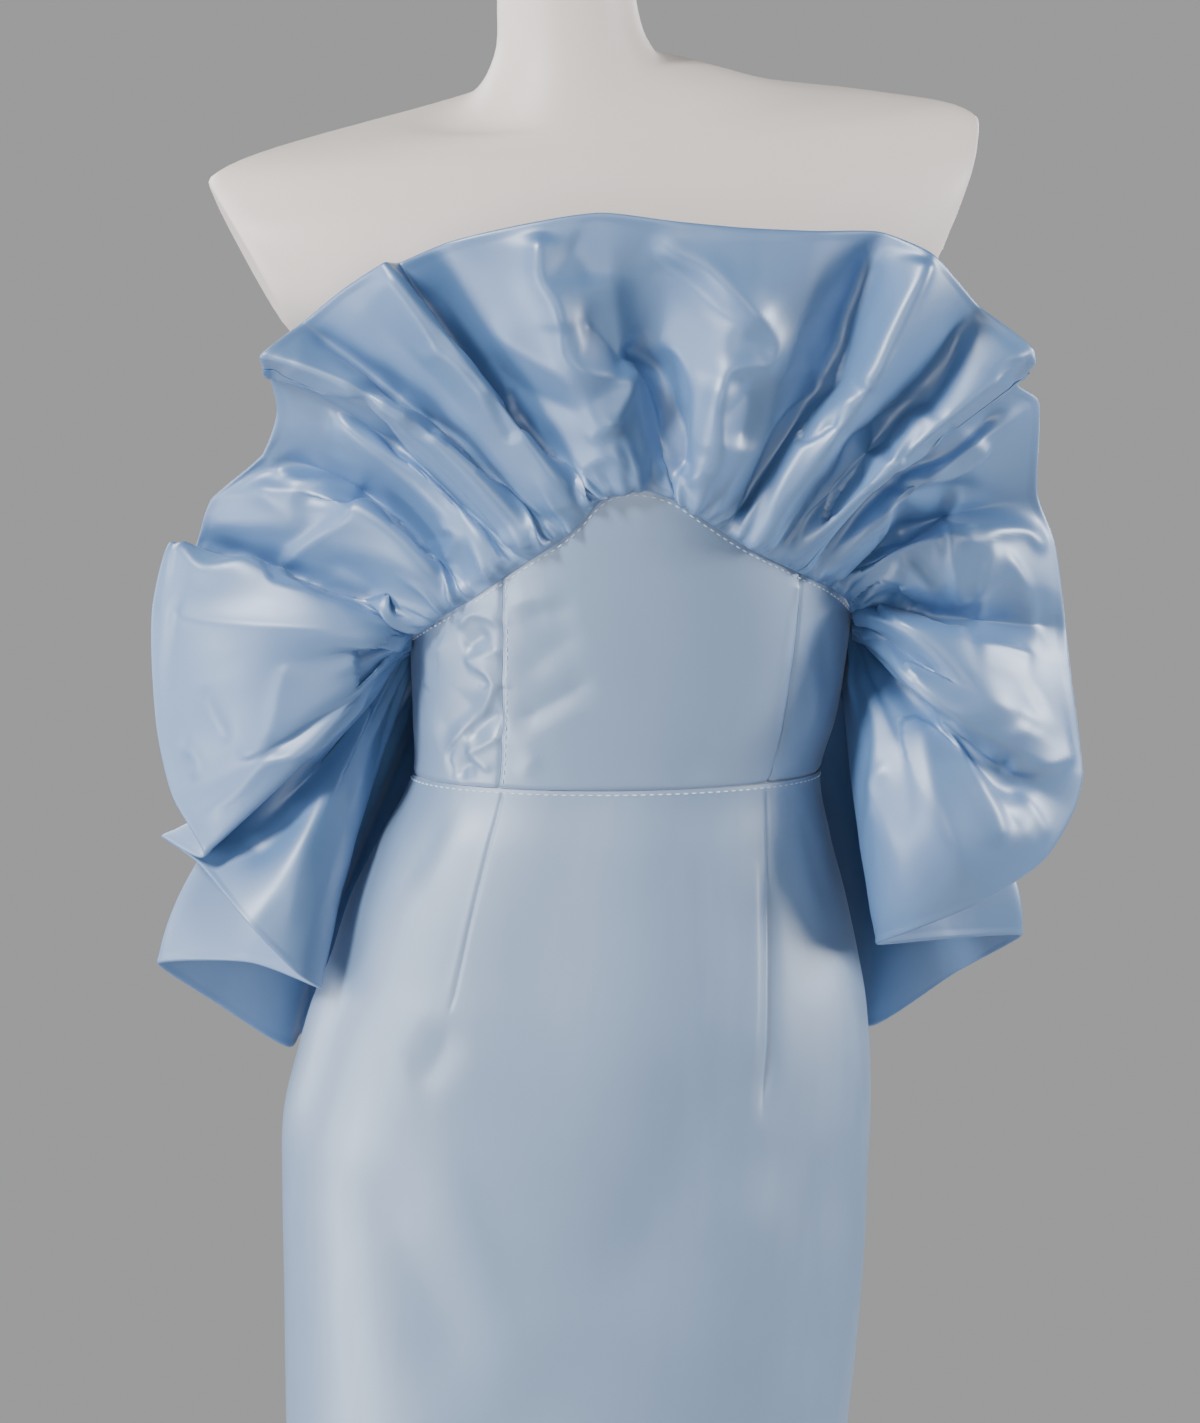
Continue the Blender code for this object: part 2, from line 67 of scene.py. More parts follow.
MM = 0.001
TURN = math.radians(-8.0)
SEAM_GAP = 0.3
SEAM_EDGE = np.array([0.6, 1.2, 2.0, 3.2])
NOISE_RANGE = (0.3, 0.7)


class WallSide(Enum):
    """Which way a cloth wall grows from the surface its points lie on."""

    INWARD = -1
    BOTH = 0


class Lap(Enum):
    """The side on which a fold's edge drops steeply, as the viewer sees it: x and z of that direction."""

    NONE = (0, 0)
    LEFT = (-1, 0)
    RIGHT = (1, 0)
    ABOVE = (0, 1)
    BELOW = (0, -1)


class Slot(str, Enum):
    """The record's material slots."""

    SATIN = "satin"
    SHELL = "form_shell"


# ---------------------------------------------------------------- geometry helpers


def table(kind: Callable, *rows: tuple) -> tuple:
    """Read each row of a table as one thing of a kind."""
    return tuple(kind(*row) for row in rows)


def turned(x: Points, y: Points, angle: float) -> tuple[Points, Points]:
    """Turn level places about the upright axis."""
    return x * math.cos(angle) - y * math.sin(angle), x * math.sin(angle) + y * math.cos(angle)


def placed(points: Points) -> Points:
    """Turn points from the viewer's square axes into the part's frame.

    Args:
        points: An array whose last axis is x, y, z in millimetres.

    Returns:
        The same points in the part's frame, in metres.
    """
    return np.stack([*turned(points[..., 0], points[..., 1], TURN), points[..., 2]], axis=-1) * MM


def hermite(start: Points | float, end: Points | float, start_tangent: Points | float,
            end_tangent: Points | float, t: float) -> Points | float:
    """Blend two ends smoothly.

    Args:
        start: The value at 0, a number or an array.
        end: The value at 1.
        start_tangent: The slope at 0.
        end_tangent: The slope at 1.
        t: Where to read.

    Returns:
        The value at t.
    """
    return (start * (2 * t ** 3 - 3 * t ** 2 + 1) + start_tangent * (t ** 3 - 2 * t ** 2 + t)
            + end * (3 * t ** 2 - 2 * t ** 3) + end_tangent * (t ** 3 - t ** 2))


def smooth_value(knots: Sequence[float], values: Sequence[float], at: float) -> float:
    """Read a smooth curve through (knots, values) at one place.

    Args:
        knots: Rising places.
        values: The value at each knot.
        at: Where to read.

    Returns:
        The value there, with a tangent taken from the neighbours at each knot.
    """
    if at <= knots[0]:
        return values[0]
    if at >= knots[-1]:
        return values[-1]
    last = len(knots) - 1
    low = max(i for i in range(last) if knots[i] <= at)

    def slope(i: int) -> float:
        """The curve's slope at a knot."""
        if i in (0, last):
            i = max(i, 1)
            return (values[i] - values[i - 1]) / (knots[i] - knots[i - 1])
        before, after = knots[i] - knots[i - 1], knots[i + 1] - knots[i]
        rise_before = (values[i] - values[i - 1]) / before
        rise_after = (values[i + 1] - values[i]) / after
        return (rise_before * after + rise_after * before) / (before + after)

    width = knots[low + 1] - knots[low]
    t = (at - knots[low]) / width
    return hermite(values[low], values[low + 1], slope(low) * width, slope(low + 1) * width, t)


def smooth_step(values: Points) -> Points:
    """Ease 0 to 1."""
    t = np.clip(values, 0.0, 1.0)
    return t * t * (3.0 - 2.0 * t)


def length_of(vectors: Points) -> Points:
    """The length of each vector."""
    return np.linalg.norm(vectors, axis=-1)


def grid_normals(points: Points) -> Points:
    """The unit normals of a grid of points: columns, rows and x, y, z.  Returns: one for each point."""
    normals = np.cross(np.gradient(points, axis=0), np.gradient(points, axis=1))
    return normals / np.maximum(length_of(normals)[..., None], 1e-9)


def distance_to_path(points: Points, path: Points) -> tuple[Points, Points, Points]:
    """How far points lie from a path, and how far along it.

    Args:
        points: Points, with x, y, z last.
        path: The path's corners.

    Returns:
        The distances, the shares of the path's length at the nearest places, and the offsets from there.
    """
    steps = length_of(np.diff(path, axis=0))
    starts = np.concatenate([[0.0], np.cumsum(steps)])
    best = np.full(points.shape[:-1], 1e9)
    share = np.zeros(points.shape[:-1])
    offset = np.zeros(points.shape)
    for k, (a, b) in enumerate(zip(path, path[1:])):
        run = b - a
        t = np.clip(((points - a) @ run) / max(float(run @ run), 1e-9), 0.0, 1.0)
        away = points - (a + t[..., None] * run)
        gap = length_of(away)
        nearer = gap < best
        best = np.where(nearer, gap, best)
        share = np.where(nearer, (starts[k] + t * steps[k]) / max(starts[-1], 1e-9), share)
        offset = np.where(nearer[..., None], away, offset)
    return best, share, offset


def rounded_path(corners: Points, steps: int = 6) -> Points:
    """A smooth path through corners, as closely spaced points."""
    if len(corners) < 3:
        return np.asarray(corners, float)
    made = []
    for k in range(len(corners) - 1):
        a, b = corners[k], corners[k + 1]
        before = corners[k - 1] if k else 2 * a - b
        after = corners[k + 2] if k + 2 < len(corners) else 2 * b - a
        made += [hermite(a, b, 0.5 * (b - before), 0.5 * (after - a), s / steps) for s in range(steps)]
    return np.array(made + [corners[-1]])


def softened(values: Points) -> Points:
    """Average each value of a grid a little with its neighbours, so that steep edges don't look stepped."""
    for axis in (0, 1):
        ends = [(1, 1) if k == axis else (0, 0) for k in (0, 1)]
        wide = np.moveaxis(np.pad(values, ends, mode="edge"), axis, 0)
        values = np.moveaxis(0.25 * wide[:-2] + 0.5 * wide[1:-1] + 0.25 * wide[2:], 0, axis)
    return values


def sheet_area(points: Points) -> float:
    """The area of a grid of points in millimetres, in square metres."""
    across = points[1:, :-1] - points[:-1, :-1]
    along = points[:-1, 1:] - points[:-1, :-1]
    return float(length_of(np.cross(across, along)).sum()) * MM * MM


# ---------------------------------------------------------------- finishes


def set_inputs(node: bpy.types.Node, **values: object) -> None:
    """Set a node's inputs by name, with _ for each blank."""
    for name, value in values.items():
        node.inputs[name.replace("_", " ")].default_value = value


def add_node(tree: bpy.types.NodeTree, kind: str, settings: dict[str, str] | None = None,
             **values: object) -> bpy.types.Node:
    """Add a node to a tree.

    Args:
        tree: The tree.
        kind: The node's type.
        settings: Its own settings by name.
        values: Its inputs' values by name, with _ for each blank.

    Returns:
        The node.
    """
    node = tree.nodes.new(kind)
    for name, value in (settings or {}).items():
        setattr(node, name, value)
    set_inputs(node, **values)
    return node


def add_noise(tree: bpy.types.NodeTree, scale: float, detail: float) -> bpy.types.Node:
    """Add a noise of a scale and a number of finer layers."""
    return add_node(tree, "ShaderNodeTexNoise", Scale=scale, Detail=detail)


def join(tree: bpy.types.NodeTree,
         *rows: tuple[bpy.types.Node, str | int, bpy.types.Node, str | int]) -> None:
    """Link nodes: each row names a node, its output, the next node and its input."""
    for source, output, target, entry in rows:
        tree.links.new(source.outputs[output], target.inputs[entry])


class FinishStart(NamedTuple):
    """The nodes that every finish starts from."""

    material: bpy.types.Material
    tree: bpy.types.NodeTree
    shader: bpy.types.Node
    where: bpy.types.Node
    blend: bpy.types.Node
    gloss: bpy.types.Node


def start_finish(name: str, colours: tuple[Triple, Triple], rough: tuple[float, float]) -> FinishStart:
    """Start a finish whose colour and roughness each lie between two values.

    Args:
        name: The material's name.
        colours: The two colours.
        rough: The two values of roughness.

    Returns:
        The nodes to add to: the blend's factor and the gloss's value are still free.
    """
    material = bpy.data.materials.new(name)
    material.use_nodes = True
    tree = material.node_tree
    shader = tree.nodes["Principled BSDF"]
    where = add_node(tree, "ShaderNodeTexCoord")
    blend = add_node(tree, "ShaderNodeMix", {"data_type": "RGBA"},
                     A=(*colours[0], 1.0), B=(*colours[1], 1.0))
    gloss = add_node(tree, "ShaderNodeMapRange", From_Min=NOISE_RANGE[0], From_Max=NOISE_RANGE[1],
                     To_Min=rough[0], To_Max=rough[1])
    join(tree, (blend, "Result", shader, "Base Color"), (gloss, "Result", shader, "Roughness"))
    return FinishStart(material, tree, shader, where, blend, gloss)


@dataclass(frozen=True)
class SatinFinish:
    """Ice blue duchess satin: a smooth lustrous face with a very fine weave and slow shifts of colour."""

    name: str = "ice_blue_satin"
    deep: Triple = (0.155, 0.270, 0.470)
    pale: Triple = (0.205, 0.325, 0.525)
    roughness: float = 0.46
    gloss_spread: tuple[float, float] = (0.05, 0.06)
    metallic: float = 0.10
    specular: float = 0.8
    coat: float = 1.0
    coat_roughness: float = 0.50
    coat_ior: float = 2.2
    sheen: float = 0.10
    sheen_roughness: float = 0.4
    sheen_tint: Triple = (0.80, 0.90, 1.0)
    anisotropic: float = 0.35
    cloud_scale: float = 9.0
    weave_scale: float = 1500.0
    weave_stretch: Triple = (1.0, 0.22, 1.0)
    weave_bump: float = 0.05
    weave_depth: float = 0.0006
    slub_scale: float = 90.0
    slub_share: float = 1.6
    drape_scale: float = 26.0
    drape_bump: float = 0.05
    drape_depth: float = 0.005

    def make(self) -> bpy.types.Material:
        """Build the material.  Returns: the node material."""
        start = start_finish(self.name, (self.deep, self.pale),
                             (self.roughness - self.gloss_spread[0], self.roughness + self.gloss_spread[1]))
        tree, shader = start.tree, start.shader
        set_inputs(shader, Metallic=self.metallic, Specular_IOR_Level=self.specular, Coat_Weight=self.coat,
                   Coat_Roughness=self.coat_roughness, Coat_IOR=self.coat_ior, Sheen_Weight=self.sheen,
                   Sheen_Roughness=self.sheen_roughness, Sheen_Tint=(*self.sheen_tint, 1.0),
                   Anisotropic=self.anisotropic)
        cloth = add_node(tree, "ShaderNodeUVMap", {"uv_map": "cloth"})
        warp = add_node(tree, "ShaderNodeMapping", Scale=self.weave_stretch)
        cloud = add_noise(tree, self.cloud_scale, 1.5)
        weave = add_noise(tree, self.weave_scale, 0.0)
        slub = add_noise(tree, self.slub_scale, 1.0)
        drape = add_noise(tree, self.drape_scale, 0.0)
        height = add_node(tree, "ShaderNodeMath", {"operation": "MULTIPLY_ADD"})
        height.inputs[1].default_value = self.slub_share
        bump = add_node(tree, "ShaderNodeBump", Strength=self.weave_bump, Distance=self.weave_depth)
        settle = add_node(tree, "ShaderNodeBump", Strength=self.drape_bump, Distance=self.drape_depth)
        join(
            tree,
            (start.where, "Object", cloud, "Vector"), (cloud, "Fac", start.blend, "Factor"),
            (cloth, "UV", warp, "Vector"), (warp, "Vector", weave, "Vector"),
            (warp, "Vector", slub, "Vector"), (slub, "Fac", height, 0), (weave, "Fac", height, 2),
            (height, "Value", bump, "Height"),
            (start.where, "Object", drape, "Vector"), (drape, "Fac", settle, "Height"),
            (settle, "Normal", bump, "Normal"), (bump, "Normal", shader, "Normal"),
            (slub, "Fac", start.gloss, "Value"),
        )
        return start.material


@dataclass(frozen=True)
class MottledFinish:
    """A hard surface whose colour and gloss shift a little, with a fine bump."""

    name: str
    dark: Triple
    light: Triple
    roughness: float
    metallic: float = 0.0
    gloss_spread: float = 0.05
    mottle_scale: float = 14.0
    grain_scale: float = 900.0
    grain_stretch: Triple = (1.0, 1.0, 1.0)
    bump: float = 0.04
    bump_depth: float = 0.0004

    def make(self) -> bpy.types.Material:
        """Build the material.  Returns: the node material."""
        start = start_finish(self.name, (self.dark, self.light),
                             (self.roughness - self.gloss_spread, self.roughness + self.gloss_spread))
        tree = start.tree
        set_inputs(start.shader, Metallic=self.metallic)
        mottle = add_noise(tree, self.mottle_scale, 5.0)
        stretch = add_node(tree, "ShaderNodeMapping", Scale=self.grain_stretch)
        grain = add_noise(tree, self.grain_scale, 2.0)
        bump = add_node(tree, "ShaderNodeBump", Strength=self.bump, Distance=self.bump_depth)
        join(
            tree,
            (start.where, "Object", mottle, "Vector"), (mottle, "Fac", start.blend, "Factor"),
            (start.where, "Object", stretch, "Vector"), (stretch, "Vector", grain, "Vector"),
            (grain, "Fac", bump, "Height"), (bump, "Normal", start.shader, "Normal"),
            (grain, "Fac", start.gloss, "Value"),
        )
        return start.material


# ---------------------------------------------------------------- meshes


def added(name: str, data: bpy.types.ID) -> bpy.types.Object:
    """Put new data into the scene as an object of that name.  Returns: the object."""
    thing = bpy.data.objects.new(name, data)
    bpy.context.scene.collection.objects.link(thing)
    return thing


def closed_shell(name: str, points: Points, wall: Points | float, side: WallSide,
                 material: bpy.types.Material, crisp: float = math.radians(70)) -> bpy.types.Object:
    """Draw a closed thin shell on a grid of points.

    Args:
        name: The piece's name.
        points: Columns, rows and x, y, z in millimetres, square to the viewer.
        wall: The wall in millimetres, one number or one for each point.
        side: Which way the wall grows.
        material: The finish.
        crisp: The angle past which an edge is drawn crisp.

    Returns:
        The new object, with a UV map named cloth in metres along the cloth.
    """
    offset = grid_normals(points) * np.broadcast_to(np.asarray(wall, float), points.shape[:2])[..., None]
    outer, inner = points + offset / 2, points - offset / 2
    if side is WallSide.INWARD:
        outer, inner = points, points - offset
    columns, rows = points.shape[:2]
    index = np.arange(columns * rows).reshape(columns, rows)
    front = np.stack([index[:-1, :-1], index[1:, :-1], index[1:, 1:], index[:-1, 1:]], axis=-1)
    front = front.reshape(-1, 4)
    back = front[:, ::-1] + columns * rows
    border = np.concatenate([index[:, 0], index[-1, 1:], index[-2::-1, -1], index[0, -2:0:-1]])
    after = np.roll(border, -1)
    rim = np.stack([after, border, border + columns * rows, after + columns * rows], axis=-1)
    faces = np.concatenate([front, back, rim])
    vertices = placed(np.concatenate([outer.reshape(-1, 3), inner.reshape(-1, 3)]))
    mesh = bpy.data.meshes.new(name)
    mesh.from_pydata(vertices.tolist(), [], faces.tolist())
    mesh.update()
    steps = (length_of(np.diff(points, axis=axis)).mean(axis=1 - axis) for axis in (0, 1))
    u, v = (np.concatenate([[0.0], np.cumsum(step)]) * MM for step in steps)
    flat = np.stack(np.broadcast_arrays(u[:, None], v[None, :]), axis=-1).reshape(-1, 2)
    layer = mesh.uv_layers.new(name="cloth")
    layer.data.foreach_set("uv", np.concatenate([flat, flat])[faces.ravel()].ravel())
    mesh.shade_smooth()
    mesh.set_sharp_from_angle(angle=crisp)
    mesh.materials.append(material)
    return added(name, mesh)


# ---------------------------------------------------------------- the body under the dress


class Section(NamedTuple):
    """A level section of the dressed body: an oval with its own front and back depth."""

    height: float
    centre: float
    half_width: float
    front: float
    back: float


class TopEdge(NamedTuple):
    """How high the bodice's top seam runs at an angle round the body."""

    angle: float
    height: float


@dataclass
class DressedBody:
    """The surface that the bodice and skirt lie on."""

    waist_height: float = 1080.0
    hem_height: float = 6.0
    flute_count: int = 9
    flute_top: float = 470.0
    flute_depth: float = 24.0
    flute_phase: float = 20.0
    flute_flare: float = 1.5
    chest_stand_off: float = 1.5
    chest_blend: float = 40.0
    sections: tuple[Section, ...] = table(
        Section,
        (6, 0, 338, 318, 345), (90, -2, 300, 282, 306), (180, -6, 256, 236, 256), (270, -10, 208, 186, 204),
        (350, -13, 170, 144, 158), (420, -15, 150, 118, 126), (490, -17, 144, 108, 117),
        (560, -18, 148, 106, 122), (640, -18.5, 157, 104, 128), (702, -18, 162, 102, 132),
        (744, -16, 164.5, 101, 133), (803, -14, 167, 100, 132), (844, -13.5, 168, 100, 129),
        (890, -12, 168, 100, 124), (923, -8.5, 163.5, 99, 117), (953, -5.5, 157.5, 97, 109),
        (974, -3, 151, 95, 103), (1010, -1, 141, 92, 95), (1044, 3, 128, 90, 88), (1080, 9.5, 116, 88, 84),
        (1110, 14, 120, 92, 86), (1140, 16, 123, 97, 90), (1165, 17, 125, 102, 94), (1200, 17, 127, 109, 97),
        (1245, 16, 130, 116, 100), (1275, 14, 132, 113, 98),
    )
    top_edge: tuple[TopEdge, ...] = table(
        TopEdge,
        (-180, 1166), (-135, 1157), (-94, 1156), (-73, 1166), (-49, 1187), (-33, 1208), (-21, 1226),
        (-13, 1244), (-5, 1248), (3, 1243), (11, 1231), (21, 1217), (36, 1202), (53, 1189), (69, 1177),
        (90, 1166), (135, 1158), (180, 1166),
    )
    chest: tuple[Section, ...] = table(
        Section,
        (1300, 11, 141, 100, 95), (1330, 6, 173, 91, 91), (1368, 0, 215, 81, 85), (1400, -2, 240, 72, 79),
    )
    levels: Points = field(init=False)
    sizes: Points = field(init=False)

    def __post_init__(self) -> None:
        """Read the sections at every millimetre of height, so that whole grids are placed at once."""
        heights, *sizes = zip(*self.sections, *self.chest)
        self.levels = np.arange(heights[0], heights[-1] + 1.0)
        self.sizes = np.array([[smooth_value(heights, size, z) for z in self.levels] for size in sizes])

    def section(self, heights: Points) -> tuple[Points, ...]:
        """The sections' centre, half width, front and back at each height."""
        return tuple(np.interp(heights, self.levels, row) for row in self.sizes)

    def flute(self, angles: Points, heights: Points) -> Points:
        """How far the hem's flutes stand out from the plain section."""
        fall = np.clip((self.flute_top - heights) / (self.flute_top - self.hem_height), 0.0, 1.0)
        wave = np.cos(np.radians(self.flute_count * angles + self.flute_phase))
        return self.flute_depth * fall ** self.flute_flare * wave

    def points(self, angles: Points, heights: Points, outward: Points | float = 0.0) -> Points:
        """Points on the dressed body.

        Args:
            angles: Degrees round the body: 0 is the centre front, positive to the viewer's right.
            heights: Millimetres above the floor.
            outward: Millimetres out of the surface.

        Returns:
            The points, in millimetres, square to the viewer.
        """
        angles, heights, outward = np.broadcast_arrays(np.asarray(angles, float), np.asarray(heights, float),
                                                       np.asarray(outward, float))
        centre, half_width, front, back = self.section(heights)
        lift = outward + self.flute(angles, heights)
        side, ahead = np.sin(np.radians(angles)), np.cos(np.radians(angles))
        x, y = turned((half_width + lift) * side, -(np.where(ahead > 0, front, back) + lift) * ahead, -TURN)
        return np.stack([centre + x, y, heights], axis=-1)

    def top_height(self, angle: float) -> float:
        """The height of the seam between the bodice and the flounce at an angle."""
        return smooth_value(*zip(*self.top_edge), angle)

    def kept_outside(self, points: Points, stand_off: Points) -> Points:
        """Move points that come too near the body straight out of it.

        Args:
            points: Points in millimetres, square to the viewer.
            stand_off: How far out of the body each one has to be.

        Returns:
            The points, moved where needed.
        """
        centre, half_width, front, back = self.section(points[..., 2])
        across, depth = points[..., 0] - centre, points[..., 1]
        local_x, local_y = turned(across, depth, TURN)
        ratio = np.hypot(local_x / half_width, local_y / np.where(local_y < 0, front, back))
        surface = np.hypot(local_x, local_y) / np.maximum(ratio, 1e-6)
        outward = surface * (ratio - 1.0)
        above = smooth_step((points[..., 2] - self.sections[-2].height) / self.chest_blend)
        stand_off = stand_off + (self.chest_stand_off - stand_off) * above
        scale = np.where((outward < stand_off) & (points[..., 2] <= self.levels[-1]),
                         (surface + stand_off) / (surface + outward), 1.0)
        return np.stack([centre + across * scale, depth * scale, points[..., 2]], axis=-1)


# ---------------------------------------------------------------- creases


@dataclass(frozen=True)
class Crease:
    """A soft ridge (height above 0) or trough (below 0) along a path on a panel.

    With a lap, one side of the ridge drops off steeply, as where a fold lies over the next.

    The path's places are the panel's own: angle and height on the bodice and skirt, rib and share of the
    rib's length on the flounce.
    """

    name: str
    path: tuple[tuple[float, float], ...]
    width: float
    height: float
    sharpness: float = 2.0
    fade: float = 0.3
    lap: Lap = Lap.NONE
    lap_width: float = 2.8
    lead: float | None = None

    def lift(self, grid: Points, path: Points) -> Points:
        """How far each point of a grid is moved along its normal.

        Args:
            grid: The panel's points.
            path: The crease's path as points on the panel.

        Returns:
            Millimetres for each point.
        """
        gap, share, offset = distance_to_path(grid, rounded_path(path))
        across, upward = self.lap.value
        steep = offset[..., 0] * across + offset[..., 2] * upward > 0.0
        width = np.where(steep, self.lap_width, self.width)
        lead = self.fade if self.lead is None else self.lead
        ends = smooth_step(share / max(lead, 1e-6)) * smooth_step((1.0 - share) / max(self.fade, 1e-6))
        return self.height * np.exp(-(gap / width) ** self.sharpness) * ends


# ---------------------------------------------------------------- bodice and skirt


@dataclass(frozen=True)
class PanelCut:
    """A panel of the bodice or skirt: the angles of its side seams, its flat size and its fine folds."""

    name: str
    start: float
    end: float
    flat: tuple[float, float]
    fine: tuple[tuple[float, float], ...] = ()


@dataclass
class FittedPanels:
    """Panels that lie on the body between two heights, each with rolled-in seam edges."""

    body: DressedBody
    finish: bpy.types.Material
    cuts: tuple[PanelCut, ...]
    creases: tuple[Crease, ...]
    wall: float = 1.0
    column_step: float = 4.0
    fine_step: float = 0.35
    seam_roll: float = 0.9
    waist_roll: float = 0.9
    roll_width: float = 1.7

    def columns(self, cut: PanelCut) -> Points:
        """The angles of a panel's columns, closer together along its seams and where its folds are fine."""
        radius = float(self.body.section(np.array(self.body.waist_height))[1])
        trim = math.degrees(0.5 * SEAM_GAP / radius)
        edge = np.degrees(SEAM_EDGE / radius)
        count = max(2, round(math.radians(cut.end - cut.start) * radius / self.column_step))
        inner = np.linspace(cut.start, cut.end, count + 1)[2:-2]
        for low, high in cut.fine:
            inner = np.sort(np.concatenate([inner[(inner < low) | (inner > high)],
                                            np.arange(low, high, self.fine_step)]))
        return np.concatenate([[cut.start + trim], cut.start + edge, inner,
                               cut.end - edge[::-1], [cut.end - trim]])

    def heights(self, angle: float) -> Points:
        """The heights of a column's rows, from its lower to its upper edge."""
        raise NotImplementedError

    def shape(self, cut: PanelCut) -> Points:
        """A panel's points with its creases and rolled-in edges.  Returns: columns, rows and x, y, z."""
        angles = self.columns(cut)
        rows = np.array([self.heights(a) for a in angles])
        grid = self.body.points(angles[:, None], rows)
        lift = np.zeros(grid.shape[:2])
        for crease in self.creases:
            lift += crease.lift(grid, self.body.points(*np.array(crease.path).T))
        across = np.radians(np.minimum(angles - cut.start, cut.end - angles))
        side_gap = across[:, None] * self.body.section(rows)[1]
        for roll, gap in ((self.seam_roll, side_gap), (self.waist_roll, rows - self.body.waist_height)):
            lift -= roll * np.exp(-(gap / self.roll_width) ** 2)
        return grid + grid_normals(grid) * lift[..., None]

    def build(self) -> list[bpy.types.Object]:
        """Draw every panel.  Returns: the pieces."""
        pieces = []
        for cut in self.cuts:
            grid = self.shape(cut)
            piece = closed_shell(f"{cut.name}_cloth", grid, self.wall, WallSide.INWARD, self.finish)
            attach(piece, "root")
            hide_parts(cut.name)
            pieces.append(piece)
        return pieces


@dataclass
class Bodice(FittedPanels):
    """Five panels from the waist seam to just above the flounce seam."""

    seam_allowance: float = 6.0
    waist_roll: float = 1.3
    fine_step: float = 0.7
    rows: int = 84

    def heights(self, angle: float) -> Points:
        """Rows from the waist seam to the top of the seam allowance."""
        bottom = self.body.waist_height + 0.5 * SEAM_GAP
        top = self.body.top_height(angle) + self.seam_allowance
        return np.concatenate([[bottom], bottom + SEAM_EDGE, np.linspace(bottom, top, self.rows)[3:]])


@dataclass
class Skirt(FittedPanels):
    """Three panels from the waist seam to the floor-length hem."""

    waist_roll: float = 0.3
    knee_height: float = 640.0
    rows_below: int = 80
    rows_above: int = 110

    def heights(self, angle: float) -> Points:
        """Rows from the hem to the waist seam."""
        top = self.body.waist_height - 0.5 * SEAM_GAP
        lower = np.linspace(self.body.hem_height, self.knee_height, self.rows_below)
        upper = np.linspace(self.knee_height, top, self.rows_above)[1:-1]
        return np.concatenate([lower, upper, top - SEAM_EDGE[::-1], [top]])


# ---------------------------------------------------------------- flounce


class Rib(NamedTuple):
    """A line from the top seam through its middle to its hem; a roundness under 1 folds more sharply."""

    name: str
    seam_angle: float
    middle: Triple
    hem: Triple
    roundness: float


class CapeFold(NamedTuple):
    """A plain fold of the back: where it is sewn and hangs, and how far its middle and hem stand out."""

    seam_angle: float
    hem_angle: float
    hem_height: float
    hem_outward: float
    middle_outward: float


